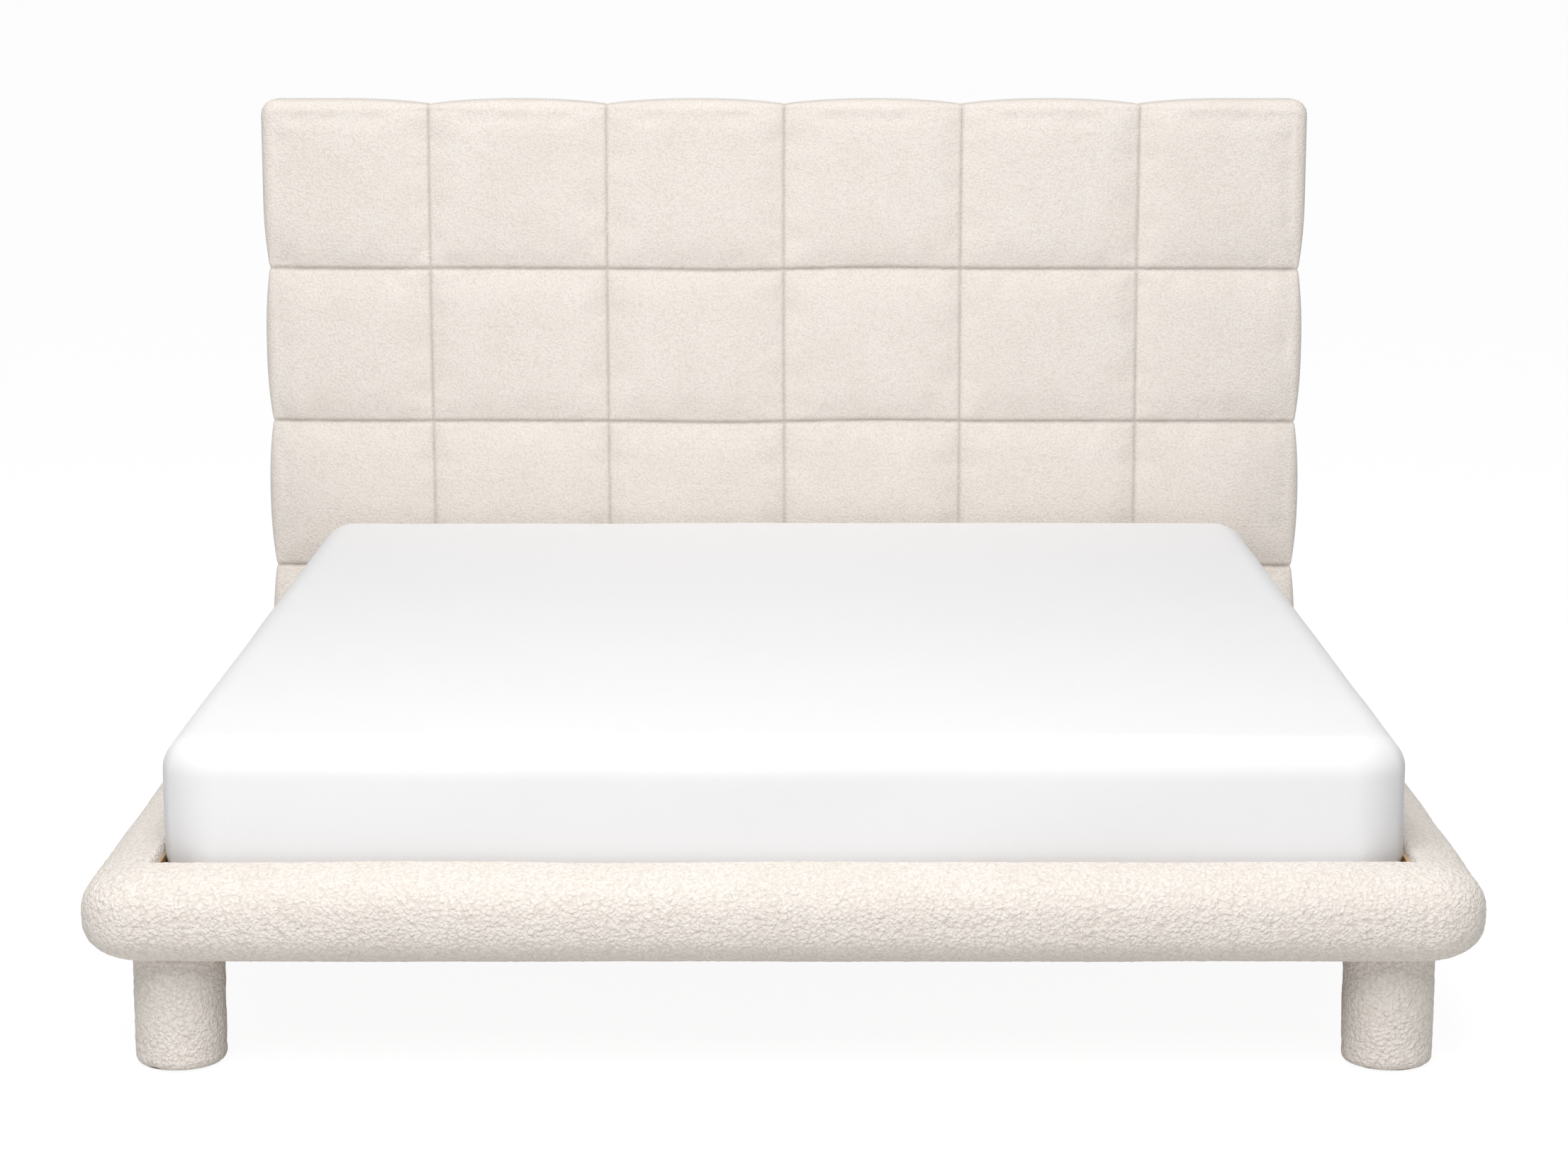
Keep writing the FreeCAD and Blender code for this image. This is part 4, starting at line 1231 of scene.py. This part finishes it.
def mattress_shape(low, high, sizes, grow, hem):
    """A mattress or its sheet. The top is a grid pressed to rounded corners; its border is
    carried round the top roll, down the side and round the bottom roll to the height hem.
    Returns the top grid, the side strip and the outward way round the side."""
    corner = sizes.plan_corner + grow
    roll = sizes.top_roll + grow
    under = sizes.bottom_roll + grow
    middle = (low + high) / 2
    half_x = (high.x - low.x) / 2 - roll
    half_y = (high.y - low.y) / 2 - roll
    inner = max(corner - roll, 0.008)
    x, y = np.meshgrid(np.linspace(-half_x, half_x, 112), np.linspace(-half_y, half_y, 124))
    x, y = round_corners(x, y, half_x, half_y, inner)
    top = np.stack([x + middle.x, y + middle.y, np.full_like(x, high.z)], -1)
    loop = border(top)
    outline = loop[:, :2] - np.array([middle.x, middle.y])
    limit = np.array([half_x, half_y]) - inner
    outward = outline - np.clip(outline, -limit, limit)
    outward /= np.linalg.norm(outward, axis=1)[:, None]
    turn = np.linspace(0, math.pi / 2, 15)
    out = [*(roll * np.sin(turn))]
    down = [*(high.z - roll * (1 - np.cos(turn)))]
    side = np.linspace(high.z - roll, low.z + under, 16)[1:]
    out += [roll] * len(side)
    down += [*side]
    tuck = np.linspace(0, math.pi / 2, 15)[1:]
    out += [*(roll - under * (1 - np.cos(tuck)))]
    down += [*(low.z + under * (1 - np.sin(tuck)))]
    out = np.array(out)
    down = np.array(down)
    kept = down > hem - 1e-6
    out = out[kept]
    down = down[kept]
    place = loop[None, :, :2] + outward[None] * out[:, None, None]
    strip = np.concatenate([place, np.repeat(down[:, None], len(loop), 1)[..., None]], -1)
    return top, strip, outward


def push_out(strip, outward, amount):
    """Moves each point of a side strip level outwards by its amount."""
    strip[..., 0] += outward[None, :, 0] * amount
    strip[..., 1] += outward[None, :, 1] * amount


def mattress_piece(sizes):
    """The mattress under its sheet: closed below by a flat base, with a corded seam."""
    low = MATTRESS_LOW.copy()
    high = MATTRESS_HIGH.copy()
    for axis in range(2):
        low[axis] += MATTRESS_INSET
        high[axis] -= MATTRESS_INSET
    high.y -= HEAD_CLEARANCE
    high.z -= MATTRESS_DROP
    top, strip, outward = mattress_shape(low, high, sizes, -0.003, low.z)
    base_loop = strip[-1]
    centre = base_loop.mean(0)
    shares = np.linspace(1, 0, 24)[:, None, None]
    base = centre + (base_loop[None] - centre) * shares
    swell = soft_swell(base, 0.12, 61) * 0.0006
    base[1:, :, 2] += np.abs(swell[1:])
    height = strip[..., 2]
    cord = np.exp(-(((height - low.z - 0.045) / 0.004) ** 2)) * 0.0010 - 0.0012
    push_out(strip, outward, cord)
    strip[0] = border(top)
    grids = [(top, None, None, False), (strip, None, None, True), (base, None, None, True)]
    return put_surfaces("mattress_body", grids)


def hem_folds(strip, outward):
    """Small gathers where the hem's elastic draws the cloth under: waves along the outline,
    strongest at the hem and at the corners, fading up the side."""
    step = np.linalg.norm(np.diff(strip[5], axis=0, append=strip[5][:1]), axis=1)
    along = np.cumsum(step)
    length = along[-1]
    random = np.random.default_rng(71)
    total = np.zeros(len(along))
    for wave, size in [(0.021, 0.7), (0.034, 1.0), (0.055, 0.8)]:
        turns = round(length / wave)
        start = random.uniform(0, 2 * math.pi)
        total += size * np.cos(2 * math.pi * turns * along / length + start)
    gate = 0.5 + 0.5 * soft_swell(np.stack([along, along * 0, along * 0], -1), 0.35, 72)
    corner = np.clip((1 - np.max(np.abs(outward), axis=1)) / 0.25, 0, 1)
    rise = strip[..., 2] - SHEET_LOW.z
    fade = np.exp(-rise / 0.045)
    size = 0.0016 * np.clip(gate, 0, 1) ** 2 + 0.0012 * corner
    return total[None] * size[None] * fade


def sheet_piece(sizes):
    """The fitted sheet: drawn smooth over the top, gathered under at the hem."""
    low = MATTRESS_LOW.copy()
    high = MATTRESS_HIGH.copy()
    thick = SHEET_HIGH.z - MATTRESS_HIGH.z
    for axis in range(3):
        low[axis] -= thick
        high[axis] += thick
    high.y -= HEAD_CLEARANCE
    top, strip, outward = mattress_shape(low, high, sizes, thick, SHEET_LOW.z)
    slack = soft_swell(top, 0.45, 81) * 0.0010 - 0.0010
    fine = np.abs(soft_swell(top * np.array([0.5, 1.6, 1.0]), 0.16, 82)) * 0.0004
    edge = border(slack - fine)
    top[..., 2] += slack - fine
    down = (high.z - strip[..., 2]) / sizes.top_roll
    strip[..., 2] += edge[None] * np.clip(1 - down, 0, 1)
    folds = hem_folds(strip, outward)
    sag = soft_swell(strip * np.array([1.0, 1.0, 2.5]), 0.35, 83) * 0.0012
    push_out(strip, outward, folds + (sag - 0.0004) * np.clip(down, 0, 1))
    turned = strip[-1] + np.array([0.0, 0.0, 0.0007])
    inner_way = np.concatenate([outward, np.zeros((len(outward), 1))], 1)
    hem = np.stack([strip[-1], turned - inner_way * 0.0006])
    strip[0] = border(top)
    fall = np.concatenate([[0], np.cumsum(np.linalg.norm(np.diff(strip[:, 0], axis=0), axis=1))])
    away = fall[:, None, None] * outward[None]
    strip_cloth = strip[:1, :, :2] + away
    grids = [(top, top[..., :2], None, False), (strip, strip_cloth, None, True),
             (hem, None, None, True)]
    return put_surfaces("fitted_bed_sheet", grids)


class BED_OT_bedding(bpy.types.Operator):
    """Build the mattress and its fitted sheet"""

    bl_idname = "bed.bedding"
    bl_label = "Bedding"

    def execute(self, context):
        sizes = context.scene.bed_bedding
        mattress = mattress_piece(sizes)
        clothe(mattress, "ticking", "mattress", ["mattress"])
        sheet = sheet_piece(sizes)
        clothe(sheet, "sheet_cotton", "mattress", ["fitted_sheet"])
        wall = sheet.modifiers.new("cloth_thickness", "SOLIDIFY")
        wall.thickness = SHEET_WALL
        wall.offset = -1.0
        return {"FINISHED"}


# ------------------------------------------------------------------ frame finishes


def sagging_tape(name, low, high, slats):
    """A webbing tape under the slats: flat where it is fixed to a slat and hanging a little
    between them, as a shallow half sine, with a ridge along each selvedge."""
    across = np.linspace(low.x, high.x, 13)
    places = np.linspace(low.y, high.y, 420)
    x, y = np.meshgrid(across, places)
    z = np.full_like(x, (low.z + high.z) / 2)
    for (first_low, first_high), (next_low, next_high) in zip(slats[:-1], slats[1:]):
        start = first_high.y
        end = next_low.y
        share = np.clip((y - start) / (end - start), 0, 1)
        z -= 0.004 * np.sin(math.pi * share) ** 2
    selvedge = np.exp(-(((np.minimum(x - low.x, high.x - x)) / 0.0012) ** 2)) * 0.0003
    points = np.stack([x, y, z - selvedge], -1)
    return put_surfaces(name, [(points, points[..., :2], None, False)], outward=False)


class BED_OT_frame_finish(bpy.types.Operator):
    """Finish the timber, the metalwork and the tapes under the slats"""

    bl_idname = "bed.frame_finish"
    bl_label = "Frame finishes"

    def execute(self, context):
        slats = [f"slat_{number:02d}" for number in range(1, 14)]
        finishes = {
            "pine_along_X": slats + ["foot_rail_core", "head_rail", "headboard_top_rail",
                                     "headboard_bottom_rail"],
            "pine_along_Y": ["side_rail_core_left", "side_rail_core_right",
                             "slat_ledge_left", "slat_ledge_right"],
            "pine_along_Z": ["headboard_stile_left", "headboard_stile_right",
                             "corner_block_foot_left", "corner_block_foot_right",
                             "corner_block_head_left", "corner_block_head_right"],
            "beech": ["leg_core_foot_left", "leg_core_foot_right", "leg_core_head_left",
                      "leg_core_head_right", "centre_leg_foot_end", "centre_leg_head_end"],
            "plywood": ["headboard_board"],
            "black_steel": ["centre_beam", "beam_hanger_foot_end", "beam_hanger_head_end"],
            "zinc_steel": ["levelling_stem_foot_end", "levelling_stem_head_end",
                           "hanger_screws", "headboard_bolts", "leg_studs", "rail_bolts",
                           "wood_screws"],
            "black_plastic": ["leg_glides", "levelling_pad_foot_end",
                              "levelling_pad_head_end"],
        }
        for material, nodes in finishes.items():
            for node in nodes:
                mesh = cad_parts[node].data
                mesh.materials.clear()
                mesh.materials.append(bpy.data.materials["bed_" + material])
        boxes = [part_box(slat) for slat in slats]
        for label in ("left", "right"):
            low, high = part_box(f"slat_tape_{label}")
            tape = sagging_tape(f"webbing_tape_{label}", low, high, boxes)
            clothe(tape, "webbing", "bed_frame", [f"slat_tape_{label}"])
            wall = tape.modifiers.new("tape_thickness", "SOLIDIFY")
            wall.thickness = high.z - low.z
            wall.offset = 0.0
        return {"FINISHED"}


# ------------------------------------------------------------------ stage


def floor_material():
    """A pale studio floor: nearly even white with the faintest mottling."""
    material, tree, shader = new_material("studio_floor")
    vector = vector_source(tree, False)
    mottle, _ = noise(tree, vector, 1.5, 3.0)
    tone = blend_colours(tree, mottle, (0.72, 0.72, 0.72), (0.75, 0.75, 0.75))
    tree.links.new(tone, shader.inputs["Base Color"])
    shader.inputs["Roughness"].default_value = 0.9
    shader.inputs["Specular IOR Level"].default_value = 0.0
    glow = tree.nodes.new("ShaderNodeEmission")
    glow.inputs["Color"].default_value = (1.0, 1.0, 1.0, 1.0)
    glow.inputs["Strength"].default_value = 1.1
    seen = tree.nodes.new("ShaderNodeLightPath")
    share = math_node(tree, "MULTIPLY", seen.outputs["Is Camera Ray"], 0.85)
    mixed = tree.nodes.new("ShaderNodeMixShader")
    result = [n for n in tree.nodes if n.type == "OUTPUT_MATERIAL"][0]
    tree.links.new(share, mixed.inputs[0])
    tree.links.new(shader.outputs[0], mixed.inputs[1])
    tree.links.new(glow.outputs[0], mixed.inputs[2])
    tree.links.new(mixed.outputs[0], result.inputs[0])
    return material


def soft_box(name, place, target, size, power):
    """A large square lamp that faces the target."""
    data = bpy.data.lights.new(name, "AREA")
    data.shape = "SQUARE"
    data.size = size
    data.energy = power
    lamp = bpy.data.objects.new(name, data)
    bpy.context.scene.collection.objects.link(lamp)
    lamp.location = place
    way = np.array(target) - np.array(place)
    lamp.rotation_euler = (
        math.atan2(math.hypot(way[0], way[1]), -way[2]),
        0.0,
        math.atan2(-way[0], way[1]),
    )
    return lamp


class BED_OT_stage(bpy.types.Operator):
    """Set out the floor, the light and the camera"""

    bl_idname = "bed.stage"
    bl_label = "Stage"

    def execute(self, context):
        scene = context.scene
        stage = scene.bed_stage
        ring = np.linspace(0, 2 * math.pi, 97)[:-1]
        radius = np.array([0.0, 1.0, 2.0, 4.0, 8.0, 16.0, 40.0, 120.0])
        x = radius[:, None] * np.cos(ring)
        y = radius[:, None] * np.sin(ring)
        points = np.stack([x, y, np.zeros_like(x)], -1)
        floor = put_surfaces("studio_floor", [(points, None, None, True)], outward=False)
        floor.data.materials.append(floor_material())
        world = bpy.data.worlds.new("studio")
        world.use_nodes = True
        sky = world.node_tree.nodes["Background"]
        sky.inputs["Color"].default_value = (1.0, 1.0, 1.0, 1.0)
        sky.inputs["Strength"].default_value = 0.40
        scene.world = world
        middle = (0.0, 0.0, 0.5)
        soft_box("overhead", (0.0, -0.8, 4.2), middle, 4.5, 52.0)
        soft_box("front_key", (-0.6, -4.4, 5.0), middle, 3.5, 282.0)
        data = bpy.data.cameras.new("camera")
        data.sensor_width = 36.0
        data.lens = stage.camera_lens
        data.clip_end = 300.0
        camera = bpy.data.objects.new("camera", data)
        scene.collection.objects.link(camera)
        camera.location = (0.0, -stage.camera_distance, stage.camera_height)
        camera.rotation_euler = (math.pi / 2 - stage.camera_pitch, 0.0, 0.0)
        scene.camera = camera
        scene.view_settings.view_transform = "Standard"
        return {"FINISHED"}


class BED_PT_panel(bpy.types.Panel):
    """The bed's pieces, each with its own button"""

    bl_idname = "BED_PT_panel"
    bl_label = "Bed"
    bl_space_type = "VIEW_3D"
    bl_region_type = "UI"
    bl_category = "Bed"

    def draw(self, context):
        for operator in OPERATORS:
            self.layout.operator(operator.bl_idname)
        for name, group in SETTINGS.items():
            settings = getattr(context.scene, name)
            for key in group.__annotations__:
                self.layout.prop(settings, key)


OPERATORS = (
    BED_OT_finishes,
    BED_OT_headboard,
    BED_OT_rails,
    BED_OT_legs,
    BED_OT_bedding,
    BED_OT_frame_finish,
    BED_OT_stage,
)


def register():
    """Adds the settings, the operators and the panel."""
    for name, group in SETTINGS.items():
        bpy.utils.register_class(group)
        setattr(bpy.types.Scene, name, PointerProperty(type=group))
    for operator in OPERATORS:
        bpy.utils.register_class(operator)
    bpy.utils.register_class(BED_PT_panel)


def unregister():
    """Takes them away again."""
    bpy.utils.unregister_class(BED_PT_panel)
    for operator in reversed(OPERATORS):
        bpy.utils.unregister_class(operator)
    for name, group in SETTINGS.items():
        delattr(bpy.types.Scene, name)
        bpy.utils.unregister_class(group)


def main():
    """Registers the add-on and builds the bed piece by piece."""
    register()
    bpy.ops.bed.finishes()
    bpy.ops.bed.headboard()
    bpy.ops.bed.rails()
    bpy.ops.bed.legs()
    bpy.ops.bed.bedding()
    bpy.ops.bed.frame_finish()
    bpy.ops.bed.stage()


if __name__ == "__main__":
    main()
